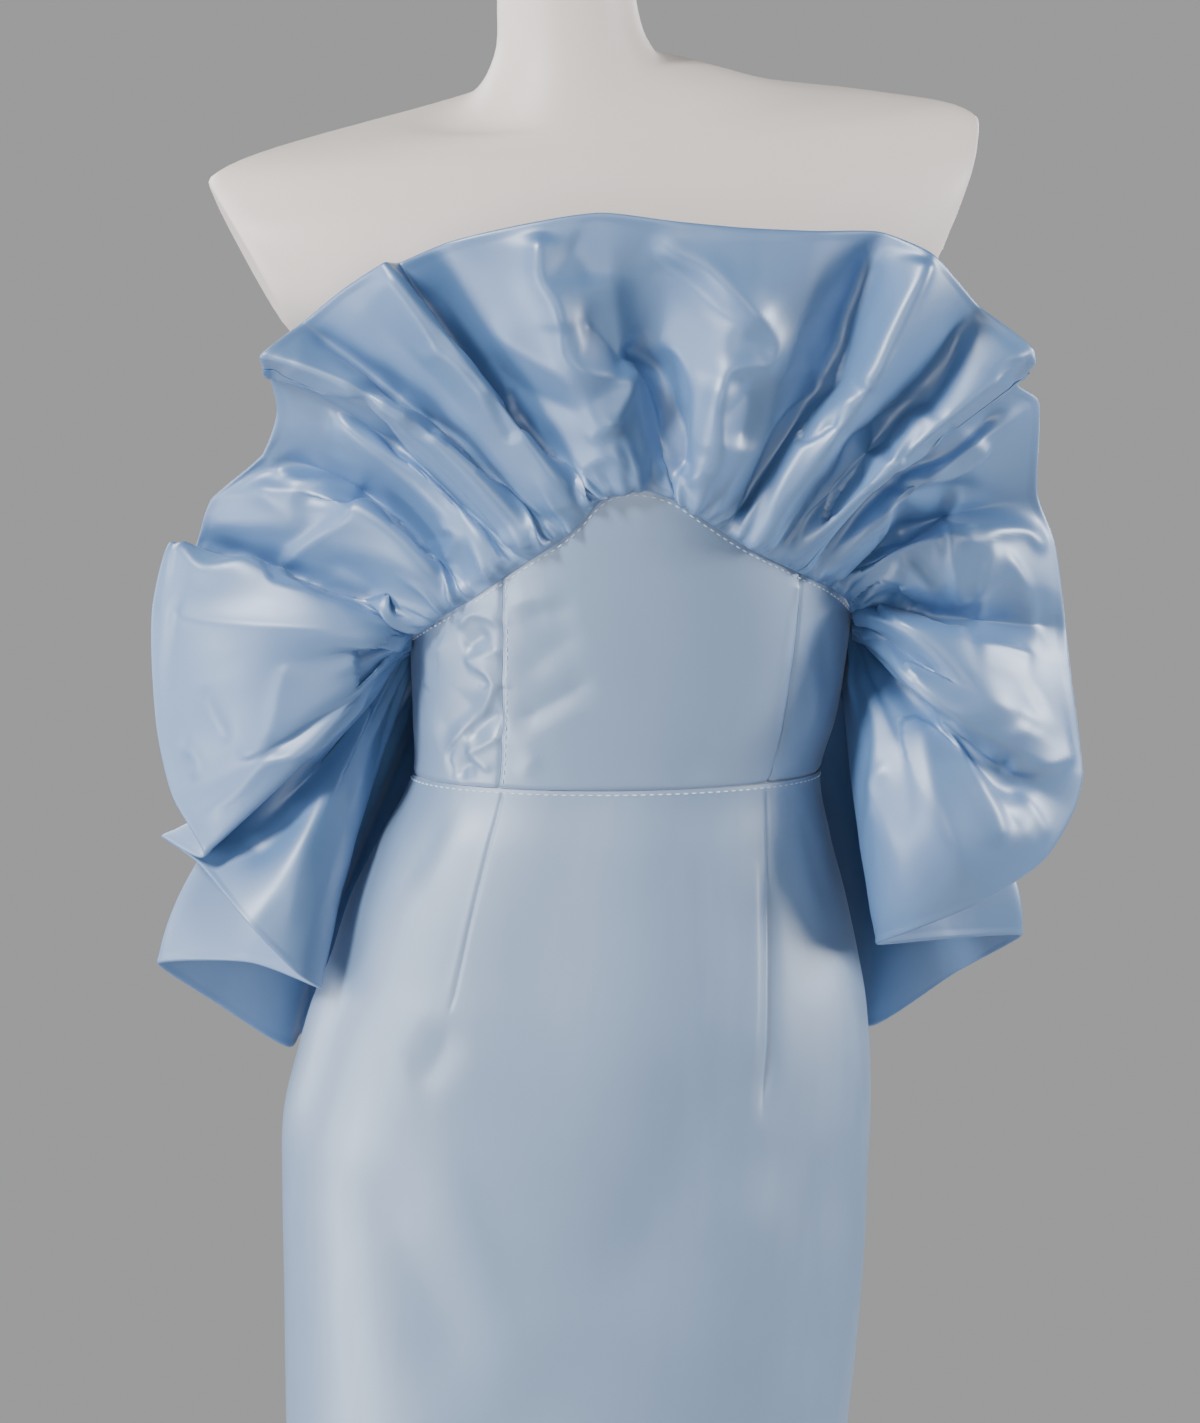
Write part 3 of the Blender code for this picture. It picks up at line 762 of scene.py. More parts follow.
FLOUNCE_RIBS: tuple[Rib, ...] = table(
    Rib,
    ("left_wrap_back", -134, (-147, 48, 1014), (-181, 68, 908), 1),
    ("left_wrap_side", -128, (-176, 28, 1029), (-222, 38, 940), 1),
    ("left_lower_fold", -122.5, (-205, 4, 1059), (-252, 10, 967), 0.6),
    ("left_inner_layer", -117.5, (-160, -4, 1054), (-198, -20, 973), 1),
    ("left_sleeve_fold", -112.5, (-134, -26, 1054), (-156, -60, 965), 0.6),
    ("left_sleeve_front", -108.5, (-142, -44, 1055), (-168, -74, 976), 1),
    ("left_sleeve_crest", -104.5, (-155, -50, 1063), (-194, -74, 1003), 1),
    ("left_sleeve_side", -99.5, (-165, -34, 1078), (-225, -36, 1032), 0.9),
    ("left_under_flap", -93.5, (-144, -44, 1108), (-248, -8, 1043), 1),
    ("left_drop_edge", -89, (-141, -62, 1118), (-221, -52, 1039), 1.6),
    ("left_drop_front", -84.5, (-161, -66, 1116), (-240, -30, 1070), 1),
    ("left_drop_middle", -80, (-176, -62, 1145), (-249, -20, 1108), 1),
    ("left_drop_ridge", -76, (-171, -60, 1169), (-251, -16, 1174), 1),
    ("left_drop_top", -70, (-179, -48, 1196), (-241, -12, 1210), 1),
    ("left_pocket", -63, (-168, -34, 1188), (-231, 2, 1201), 0.8),
    ("left_wedge", -57.5, (-136, -66, 1235), (-217, -20, 1235), 0.7),
    ("left_third_valley", -49, (-129, -44, 1240), (-187, -42, 1262), 0.7),
    ("left_third_crest", -41, (-97, -86, 1253), (-178, -56, 1286), 1),
    ("left_second_valley", -35, (-109, -77, 1268), (-181, -74, 1308), 0.6),
    ("left_second_crest", -30, (-100, -114, 1284), (-184, -102, 1320), 0.7),
    ("left_first_valley", -25.5, (-93, -96, 1284), (-161, -90, 1338), 0.6),
    ("left_first_plane", -22, (-82, -114, 1298), (-139, -108, 1356), 1),
    ("left_first_crest", -18.5, (-56, -130, 1299), (-116, -126, 1371), 0.7),
    ("left_panel_valley", -14.5, (-54, -108, 1294), (-109, -100, 1370), 0.7),
    ("panel_left", -11.5, (-42, -120, 1305), (-81, -120, 1382), 1),
    ("panel_left_ridge", -8.5, (-13, -138, 1319), (-35, -132, 1393), 1),
    ("panel_middle", -3, (11, -130, 1323), (0, -134, 1398), 1),
    ("panel_valley", 3.5, (32, -114, 1296), (36, -134, 1394), 1),
    ("panel_right_ridge", 7.5, (65, -136, 1298), (75, -130, 1390), 1),
    ("panel_right", 11, (92, -126, 1306), (115, -124, 1388), 1),
    ("right_first_valley", 15, (120, -102, 1308), (151, -110, 1387), 0.8),
    ("right_first_crest", 21, (143, -128, 1302), (178, -122, 1376), 0.8),
    ("right_second_valley", 27.5, (159, -96, 1285), (205, -100, 1347), 0.8),
    ("right_second_crest", 35, (162, -114, 1264), (235, -100, 1323), 0.7),
    ("right_under_valley", 41, (160, -82, 1252), (228, -78, 1303), 0.6),
    ("right_third_crest", 47, (176, -88, 1248), (241, -60, 1293), 0.8),
    ("right_hollow", 53, (169, -48, 1220), (243, -38, 1239), 0.8),
    ("right_fourth_crest", 59, (187, -66, 1219), (253, -30, 1213), 1),
    ("right_v_plane", 64.5, (196, -60, 1194), (258, -24, 1185), 1),
    ("right_v_valley", 70.5, (184, -40, 1172), (261, -20, 1163), 0.7),
    ("right_v_crest", 76.5, (179, -64, 1166), (263, -20, 1145), 0.8),
    ("right_drop_middle", 81, (203, -70, 1134), (268, -20, 1108), 1),
    ("right_drop_edge", 85.5, (187, -70, 1127), (271, -24, 1080), 0.7),
    ("right_drop_under", 90, (186, -52, 1118), (266, -28, 1061), 1),
    ("right_sleeve_side", 94.5, (201, -58, 1096), (249, -38, 1035), 1),
    ("right_sleeve_crest", 99, (173, -62, 1085), (213, -58, 1014), 1),
    ("right_sleeve_front", 103.5, (154, -48, 1075), (181, -52, 999), 1),
    ("right_sleeve_fold", 108, (143, -20, 1066), (156, -30, 985), 0.7),
    ("right_inner_layer", 113.5, (167, 2, 1067), (198, -10, 985), 1),
    ("right_lower_fold", 119.5, (213, 14, 1061), (240, 12, 983), 0.7),
    ("right_wrap_side", 125.5, (186, 34, 1032), (205, 40, 957), 1),
    ("right_wrap_back", 132, (151, 56, 1019), (159, 72, 920), 1),
)
CAPE_FOLDS: tuple[CapeFold, ...] = table(
    CapeFold,
    (141, 134, 912, 44, 38), (149, 144, 906, 24, 22), (157, 154, 902, 42, 34),
    (166, 164, 900, 22, 20), (174, 172, 899, 38, 30), (179.2, 178.5, 898, 26, 22),
)


class Gather(NamedTuple):
    """A short puff or tuck where the flounce is gathered into its seam, with its place counted in ribs."""

    place: float
    lean: float
    reach: float
    width: float
    height: float

    def crease(self) -> Crease:
        """The gather as a crease.  Returns: the crease."""
        path = ((self.place, 0.0), (self.place + 0.4 * self.lean, 0.4 * self.reach),
                (self.place + self.lean, self.reach))
        return Crease("gather", path, self.width, self.height, 1.5, 0.75, lead=0.06)


@dataclass(frozen=True)
class GatherRun:
    """The gathers along the whole seam, drawn from a fixed seed: closer and shorter in the fan in front.

    Places, leans and spacings are counted in ribs, reaches are shares of a rib, widths and heights are in
    millimetres.  A pair holds the least and the most.
    """

    seed: int = 7
    run: tuple[float, float] = (1.3, 62.6)
    shown: tuple[float, float] = (8.0, 55.5)
    close: tuple[float, float] = (18.0, 50.0)
    fan: tuple[float, float] = (20.0, 46.0)
    spacing: tuple[float, float] = (0.6, 1.2)
    close_spacing: tuple[float, float] = (0.42, 0.95)
    lean: tuple[float, float] = (-0.25, 0.25)
    reach: tuple[float, float] = (0.12, 0.34)
    width: tuple[float, float] = (1.9, 3.4)
    height: tuple[float, float] = (2.0, 4.2)
    hidden_height: tuple[float, float] = (1.6, 3.0)
    tuck_chance: float = 0.25
    tuck_depth: tuple[float, float] = (1.5, 2.6)
    reach_gain: float = 1.75
    reach_start: float = 0.02
    longest: float = 0.62
    width_gain: float = 1.05
    height_gain: float = 1.45
    fan_gain: float = 0.6
    fan_longest: float = 0.26

    def grown(self, gather: Gather) -> Gather:
        """Bring a drawn gather to its sewn size, which is smaller in the fan.

        Args:
            gather: The gather as it was drawn.

        Returns:
            The gather, rounded like the drawn one.
        """
        reach = round(min(self.longest, gather.reach * self.reach_gain + self.reach_start), 2)
        width = round(gather.width * self.width_gain, 1)
        height = round(gather.height * self.height_gain, 1)
        if self.fan[0] < gather.place < self.fan[1]:
            reach = round(min(reach * self.fan_gain, self.fan_longest), 2)
            height = round(height * self.fan_gain, 1)
        return Gather(gather.place, gather.lean, reach, width, height)

    def gathers(self) -> tuple[Gather, ...]:
        """Draw the gathers.  Returns: all of them, in order along the seam."""
        draw = random.Random(self.seed)
        made = []
        place, end = self.run
        while place < end:
            height = draw.uniform(*(self.height if self.shown[0] <= place <= self.shown[1]
                                    else self.hidden_height))
            if draw.random() < self.tuck_chance:
                height = -draw.uniform(*self.tuck_depth)
            lean, reach, width = (draw.uniform(*limits) for limits in (self.lean, self.reach, self.width))
            drawn = (round(place, 2), round(lean, 2), round(reach, 2), round(width, 1), round(height, 1))
            made.append(self.grown(Gather(*drawn)))
            is_close = self.close[0] < place < self.close[1]
            place += draw.uniform(*(self.close_spacing if is_close else self.spacing))
        return tuple(made)


class FlounceLength(NamedTuple):
    """One length of the flounce and its cut before gathering, in metres."""

    name: str
    flat: tuple[float, float]


@dataclass
class Flounce:
    """One deep gathered strip, in three lengths, sewn round the whole top edge of the bodice."""

    body: DressedBody
    finish: bpy.types.Material
    creases: tuple[Crease, ...]
    lengths: tuple[FlounceLength, ...] = table(
        FlounceLength,
        ("flounce_left", (0.80, 0.20)), ("flounce_front", (0.50, 0.16)), ("flounce_right", (0.80, 0.20)),
    )
    left_join: str = "left_second_valley"
    right_join: str = "right_second_crest"
    cape_middle_height: float = 1022.0
    wall: float = 0.9
    hem_wall: float = 1.7
    hem_rim_wall: float = 0.35
    seam_wall: float = 0.4
    seam_stand_off: float = 1.0
    near_stand_off: float = 1.3
    body_stand_off: float = 3.2
    stand_off_reach: float = 0.2
    column_step: float = 2.3
    plain_column_step: float = 5.0
    fullness: float = 1.15
    fewest_columns: int = 4
    plain_ribs: int = 6
    join_trim: float = 0.5 * SEAM_GAP / 20.0
    rows: int = 84
    hem_weight: float = 0.6
    seam_puff: float = 2.4
    seam_fade: float = 0.015
    puff_rise: float = 0.05
    puff_fall: tuple[float, float] = (0.12, 0.4)
    tightness: float = 0.8
    seam_droop: float = 0.4
    droop_fall: tuple[float, float] = (0.03, 0.12)
    crease_reach: float = 2.5
    ribs: list[Rib] = field(init=False)
    shares: Points = field(init=False)
    curves: Points = field(init=False)

    def __post_init__(self) -> None:
        """Put the ribs in order round the body and read each one's curve."""
        self.ribs = [*reversed(self.cape_ribs(-1)), *FLOUNCE_RIBS, *self.cape_ribs(1)]
        self.shares = np.concatenate([[0.0, 0.006, 0.014], np.linspace(0.025, 0.985, self.rows),
                                      [0.992, 0.9965, 1.0]])
        self.curves = np.array([self.rib_curve(rib, self.shares) for rib in self.ribs])

    def cape_ribs(self, side: int) -> list[Rib]:
        """The plain folds that hang down one half of the back, from the side to the centre back."""
        made = []
        for k, fold in enumerate(CAPE_FOLDS):
            middle = self.body.points(side * fold.hem_angle, self.cape_middle_height, fold.middle_outward)
            hem = self.body.points(side * fold.hem_angle, fold.hem_height, fold.hem_outward)
            made.append(Rib(f"cape_{k}", side * fold.seam_angle, tuple(middle), tuple(hem), 1.0))
        return made

    def rib_curve(self, rib: Rib, v: Points) -> Points:
        """Points on a rib: through the seam at 0, its middle at one half and the hem at 1."""
        start = self.body.points(rib.seam_angle, self.body.top_height(rib.seam_angle), self.near_stand_off)
        v = v[:, None]
        return (start * ((1 - v) * (1 - 2 * v)) + np.array(rib.middle) * (4 * v * (1 - v))
                + np.array(rib.hem) * (v * (2 * v - 1)))

    def column(self, curves: Points, place: float) -> Points:
        """A column of points at a place among the ribs.

        Args:
            curves: The ribs' points.
            place: The rib before the column, and the share of the way to the next rib.

        Returns:
            The points, on a centripetal curve through up to four neighbouring ribs.
        """
        index = min(int(place), len(self.ribs) - 2)
        low = max(0, index - 1)
        near = curves[low:index + 3]
        turns = [rib.roundness * self.tightness for rib in self.ribs[low:index + 3]]
        here = index - low
        knots = np.sqrt(length_of(np.diff(near, axis=0)))[..., None]
        last = len(near) - 1

        def tangent(k: int) -> Points:
            """The curve's tangent at a rib; a turn under 1 draws a sharper fold."""
            if k in (0, last):
                k = max(k, 1)
                return (near[k] - near[k - 1]) / knots[k - 1]
            before, after = knots[k - 1], knots[k]
            rise = (near[k] - near[k - 1]) * (after / before) + (near[k + 1] - near[k]) * (before / after)
            return rise * (turns[k] / (before + after))

        width = knots[here]
        return hermite(near[here], near[here + 1], tangent(here) * width, tangent(here + 1) * width,
                       place - index)

    def at(self, place: float, v: float) -> Points:
        """A point on the uncreased flounce at a place among the ribs and a share of their length."""
        return self.column(np.array([self.rib_curve(rib, np.array([v])) for rib in self.ribs]), place)[0]

    def places(self, start: float, end: float) -> list[float]:
        """Where a length of the flounce has its columns, counted in ribs."""
        found = []
        for index in range(int(start), min(int(math.ceil(end)), len(self.ribs) - 1)):
            one, other = self.ribs[index:index + 2]
            hem_gap, middle_gap = (float(np.linalg.norm(np.subtract(a, b))) for a, b in
                                   ((one.hem, other.hem), (one.middle, other.middle)))
            spacing = self.hem_weight * hem_gap + (1 - self.hem_weight) * middle_gap
            plain = min(index, len(self.ribs) - 2 - index) < self.plain_ribs
            step = self.plain_column_step if plain else self.column_step
            steps = max(self.fewest_columns, round(spacing * self.fullness / step))
            found += [index + s / steps for s in range(steps) if start < index + s / steps < end]
        trim = self.join_trim
        return [start + trim, *[p for p in found if start + 2 * trim < p < end - 2 * trim], end - trim]

    def eased(self, start: float, width: float) -> Points:
        """A smooth rise from 0 to 1 along the ribs."""
        return smooth_step((self.shares - start) / width)

    def crease_lift(self, grid: Points, places: Points) -> Points:
        """How far the creases near a length move each of its points.

        Args:
            grid: The length's points before its creases.
            places: Where its columns lie, counted in ribs.

        Returns:
            Millimetres for each point.
        """
        lift = np.zeros(grid.shape[:2])
        for crease in self.creases:
            first, last = (pick(p for p, _ in crease.path) for pick in (min, max))
            away = np.maximum(np.maximum(first - places, places - last), 0.0)
            near = smooth_step(self.crease_reach - away)
            shown = near > 0.0
            if shown.any():
                path = np.array([self.at(place, v) for place, v in crease.path])
                lift[shown] += crease.lift(grid[shown], path) * near[shown][:, None]
        return softened(lift) * smooth_step(self.shares / self.seam_fade)

    def shape(self, start: float, end: float) -> Points:
        """Place one length with its creases, clear of the body.  Returns: columns, rows and x, y, z."""
        places = np.array(self.places(start, end))
        grid = np.array([self.column(self.curves, place) for place in places])
        lift = self.crease_lift(grid, places)
        normals = grid_normals(grid)
        outward = normals * np.sign((normals[..., :2] * grid[..., :2]).sum(-1))[..., None]
        puff = self.seam_puff * (smooth_step(self.shares / self.puff_rise) - self.eased(*self.puff_fall))
        grid = grid + normals * lift[..., None] + outward * puff[None, :, None]
        near_seam = (1.0 - self.eased(*self.droop_fall)) * smooth_step(self.shares / self.seam_fade)
        grid[..., 2] -= self.seam_droop * near_seam * np.abs(lift)
        reach = np.clip(self.shares / self.stand_off_reach, 0.0, 1.0)
        wanted = self.near_stand_off + (self.body_stand_off - self.near_stand_off) * reach
        wanted[0] = self.seam_stand_off
        return self.body.kept_outside(grid, np.broadcast_to(wanted, grid.shape[:2]))

    def walls(self, columns: int) -> Points:
        """The wall at each point: thicker along the narrow rolled hem, and rounded off at both edges."""
        wall = np.full(len(self.shares), self.wall)
        wall[0] = self.seam_wall
        wall[-4:] = (self.hem_wall, self.hem_wall, 0.85 * self.hem_wall, self.hem_rim_wall)
        return np.broadcast_to(wall, (columns, len(wall)))

    def build(self) -> list[bpy.types.Object]:
        """Draw the three lengths.  Returns: the pieces."""
        names = [rib.name for rib in self.ribs]
        joins = [0.0, *(names.index(rib) + 0.5 for rib in (self.left_join, self.right_join)),
                 len(names) - 1.0]
        pieces = []
        for length, start, end in zip(self.lengths, joins, joins[1:]):
            grid = self.shape(start, end)
            piece = closed_shell(f"{length.name}_cloth", grid, self.walls(len(grid)), WallSide.BOTH,
                                 self.finish)
            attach(piece, "root")
            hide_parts(length.name)
            run, drop = (float(length_of(np.diff(grid, axis=k)).sum(axis=k).mean()) * MM for k in (0, 1))
            LOG.info("%s: %.3f m2, run %.3f m, drop %.3f m", length.name, sheet_area(grid), run, drop)
            pieces.append(piece)
        return pieces


# ---------------------------------------------------------------- dress form


class FormRing(NamedTuple):
    """A ring of the form's shoulders and neck, tilted sideways and pitched front to back."""

    height: float
    centre: float
    half_width: float
    front: float
    back: float
    tilt: float
    pitch: float
    power: float


class ArmCut(NamedTuple):
    """The plane where an arm is cut off: its reach at a height, and its slope."""

    side: int
    reach: float
    height: float
    slope: float


@dataclass
class DressForm:
    """A smooth limbless form: a closed body with flat arm cuts, a flat bottom and a flat neck top."""

    body: DressedBody
    finish: bpy.types.Material
    cloth_wall: float = 1.5
    clearance: float = 3.0
    waist_clearance: float = 0.5
    waist_seat: float = 30.0
    end_rounding: float = 5.0
    neck_bevel: float = 0.8
    neck_caps: tuple[float, ...] = (0.985, 0.6)
    crisp: float = math.radians(50)
    bottom: float = 660.0
    bust_height: float = 1235.0
    around: int = 120
    lower_rows: int = 60
    rows_between: int = 5
    rings: tuple[FormRing, ...] = table(
        FormRing,
        (1262, 14.5, 127, 105, 94, 0, 0, 2), (1295, 11, 138, 93, 91, 0.02, 0, 2.1),
        (1330, 6, 170, 87, 88, 0.05, 0, 2.2), (1368, 0, 212, 77, 82, 0.075, 0, 2.3),
        (1400, -2, 235, 68, 76, 0.082, 0.05, 2.2), (1422, -3, 224, 61, 69, 0.082, 0.1, 1.9),
        (1437, -3, 205, 56, 64, 0.082, 0.16, 1.7), (1446, -5, 165, 52, 61, 0.085, 0.22, 1.7),
        (1454, -10, 108, 50, 58, 0.11, 0.26, 1.8), (1465, -16, 60, 47, 55, 0.22, 0.28, 2),
        (1484, -15.5, 43.5, 40, 46, 0.1, 0.16, 2), (1512, -18.5, 38.7, 36, 41, 0, 0.05, 2),
        (1556, -20, 37, 35, 39, 0, 0, 2),
    )
    arm_cuts: tuple[ArmCut, ...] = table(ArmCut, (-1, 216, 1406, 0.535), (1, 214, 1440, 0.39))

    def cut_arms(self, local_x: Points, heights: Points) -> Points:
        """Hold points behind the planes where the arms are cut off, with a rounded edge."""
        for cut in self.arm_cuts:
            limit = cut.reach + (heights - cut.height) * cut.slope - self.end_rounding
            reach = local_x * cut.side
            held = limit + self.end_rounding * np.tanh((reach - limit) / self.end_rounding)
            local_x = np.where(reach > limit, held, reach) * cut.side
        return local_x

    def lower_points(self, angles: Points) -> Points:
        """The rings from the bottom to the bust, inside the dress."""
        heights = np.linspace(self.bottom, self.bust_height, self.lower_rows)
        away = np.minimum(1.0, np.abs(heights - self.body.waist_height) / self.waist_seat)
        inset = self.cloth_wall + self.waist_clearance + (self.clearance - self.waist_clearance) * away
        return self.body.points(angles[None, :], heights[:, None], -inset[:, None])

    def upper_points(self, angles: Points) -> Points:
        """The rings from the bust to the neck's flat top."""
        knots = list(range(len(self.rings)))
        side, ahead = np.sin(np.radians(angles)), np.cos(np.radians(angles))
        made = []
        for step in range((len(self.rings) - 1) * self.rows_between + 1):
            height, centre, half_width, front, back, tilt, pitch, power = (
                smooth_value(knots, values, step / self.rows_between) for values in zip(*self.rings))
            local_x = half_width * np.sign(side) * np.abs(side) ** (2.0 / power)
            local_y = -np.where(ahead > 0, front, back) * np.sign(ahead) * np.abs(ahead) ** (2.0 / power)
            z = height + tilt * local_x + pitch * local_y
            x, y = turned(self.cut_arms(local_x + centre, z) - centre, local_y, -TURN)
            made.append(np.stack([centre + x, y, z], axis=-1))
        return np.array(made)

    def build(self) -> bpy.types.Object:
        """Draw the form.  Returns: the piece."""
        angles = np.arange(self.around) * 360.0 / self.around
        rings = np.concatenate([self.lower_points(angles), self.upper_points(angles)])
        neck = rings[-1].copy()
        middle = neck.mean(axis=0)
        rings[-1, :, 2] -= self.neck_bevel
        caps = [middle + (neck - middle) * share for share in self.neck_caps]
        rings = placed(np.concatenate([rings, caps]))
        count, around = rings.shape[:2]
        index = np.arange(count * around).reshape(count, around)
        right = np.roll(index, -1, axis=1)
        faces = np.stack([index[:-1], right[:-1], right[1:], index[1:]], axis=-1).reshape(-1, 4).tolist()
        faces += [index[0][::-1].tolist(), index[-1].tolist()]
        mesh = bpy.data.meshes.new("dress_form_shell")
        mesh.from_pydata(rings.reshape(-1, 3).tolist(), [], faces)
        mesh.update()
        mesh.shade_smooth()
        mesh.set_sharp_from_angle(angle=self.crisp)
        mesh.materials.append(self.finish)
        piece = added("dress_form_shell", mesh)
        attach(piece, "root")
        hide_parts("dress_form")
        LOG.info("dress form: %d faces", len(faces))
        return piece


# ---------------------------------------------------------------- sewing


@dataclass
class StitchRows:
    """Rows of short thread stitches that follow the seams."""

    body: DressedBody
    finish: bpy.types.Material
    pitch: float = 4.8
    length: float = 3.0
    thickness: float = 0.85
    steps: int = 160
    arch_reach: float = 92.0
    arch_drop: float = 2.6
    arch_outward: float = 0.25
    princess_seam: float = -41.0
    princess_row: float = -39.6
    princess_outward: float = 0.2
    princess_end: float = 4.0
    princess_steps: int = 40
    waist_reach: float = 94.0
    waist_drop: float = 2.4
    waist_outward: float = 0.1

    def stitch_tree(self) -> bpy.types.NodeTree:
        """The node tree that lays a stitch at each step of a path.  Returns: the tree."""
        tree = bpy.data.node_groups.new("stitch_row", "GeometryNodeTree")
        tree.interface.new_socket("Path", in_out="INPUT", socket_type="NodeSocketGeometry")
        for name in ("Pitch", "Length", "Thickness"):
            tree.interface.new_socket(name, in_out="INPUT", socket_type="NodeSocketFloat")
        tree.interface.new_socket("Stitches", in_out="OUTPUT", socket_type="NodeSocketGeometry")
        start, end = add_node(tree, "NodeGroupInput"), add_node(tree, "NodeGroupOutput")
        curve = add_node(tree, "GeometryNodeMeshToCurve")
        resample = add_node(tree, "GeometryNodeResampleCurve", {"mode": "LENGTH"})
        bead = add_node(tree, "GeometryNodeMeshUVSphere", Segments=6, Rings=5, Radius=0.5)
        size = add_node(tree, "ShaderNodeCombineXYZ")
        stretch = add_node(tree, "GeometryNodeTransform")
        tangent = add_node(tree, "GeometryNodeInputTangent")
        align = add_node(tree, "FunctionNodeAlignRotationToVector", {"axis": "Z"})
        instance = add_node(tree, "GeometryNodeInstanceOnPoints")
        realize = add_node(tree, "GeometryNodeRealizeInstances")
        finish = add_node(tree, "GeometryNodeSetMaterial", Material=self.finish)
        join(
            tree,
            (start, "Path", curve, "Mesh"), (curve, "Curve", resample, "Curve"),
            (start, "Pitch", resample, "Length"), (start, "Length", size, "Z"),
            (start, "Thickness", size, "X"), (start, "Thickness", size, "Y"),
            (bead, "Mesh", stretch, "Geometry"), (size, "Vector", stretch, "Scale"),
            (tangent, "Tangent", align, "Vector"), (resample, "Curve", instance, "Points"),
            (stretch, "Geometry", instance, "Instance"), (align, "Rotation", instance, "Rotation"),
            (instance, "Instances", realize, "Geometry"), (realize, "Geometry", finish, "Geometry"),
            (finish, "Geometry", end, "Stitches"),
        )
        return tree

    def row(self, name: str, points: Points, tree: bpy.types.NodeTree) -> bpy.types.Object:
        """Lay a row of stitches along points.

        Args:
            name: The piece's name.
            points: The row's path in millimetres, square to the viewer.
            tree: The node tree of stitches.

        Returns:
            The piece, a plain mesh.
        """
        line = bpy.data.meshes.new(f"{name}_path")
        line.from_pydata(placed(points).tolist(), [(k, k + 1) for k in range(len(points) - 1)], [])
        holder = added(f"{name}_path", line)
        modifier = holder.modifiers.new("stitches", "NODES")
        modifier.node_group = tree
        sockets = {item.name: item.identifier for item in tree.interface.items_tree
                   if item.in_out == "INPUT"}
        for label, value in (("Pitch", self.pitch), ("Length", self.length), ("Thickness", self.thickness)):
            modifier[sockets[label]] = value * MM
        graph = bpy.context.evaluated_depsgraph_get()
        mesh = bpy.data.meshes.new_from_object(holder.evaluated_get(graph), depsgraph=graph)
        mesh.name = name
        bpy.data.objects.remove(holder)
        piece = added(name, mesh)
        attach(piece, "root")
        LOG.info("%s: %d faces", name, len(mesh.polygons))
        return piece

    def build(self) -> list[bpy.types.Object]:
        """Sew the arch, princess and waist seams.  Returns: the rows of stitches."""
        tree = self.stitch_tree()
        arch = np.linspace(-self.arch_reach, self.arch_reach, self.steps)
        heights = np.array([self.body.top_height(a) for a in arch])
        seam_top = self.body.top_height(self.princess_seam)
        upward = np.linspace(self.body.waist_height + self.princess_end, seam_top - self.princess_end,
                             self.princess_steps)
        around = np.linspace(-self.waist_reach, self.waist_reach, self.steps)
        rows = {
            "arch_stitches": self.body.points(arch, heights - self.arch_drop, self.arch_outward),
            "left_princess_stitches": self.body.points(self.princess_row, upward, self.princess_outward),
            "waist_stitches": self.body.points(around, self.body.waist_height - self.waist_drop,
                                               self.waist_outward),
        }
        return [self.row(name, points, tree) for name, points in rows.items()]


# ---------------------------------------------------------------- studio


class Lamp(NamedTuple):
    """A soft light: its place and aim in metres, square to the viewer, its side, watts and colour."""

    name: str
    place: Triple
    aim: Triple
    side: float
    power: float
    colour: Triple = (1.0, 1.0, 1.0)


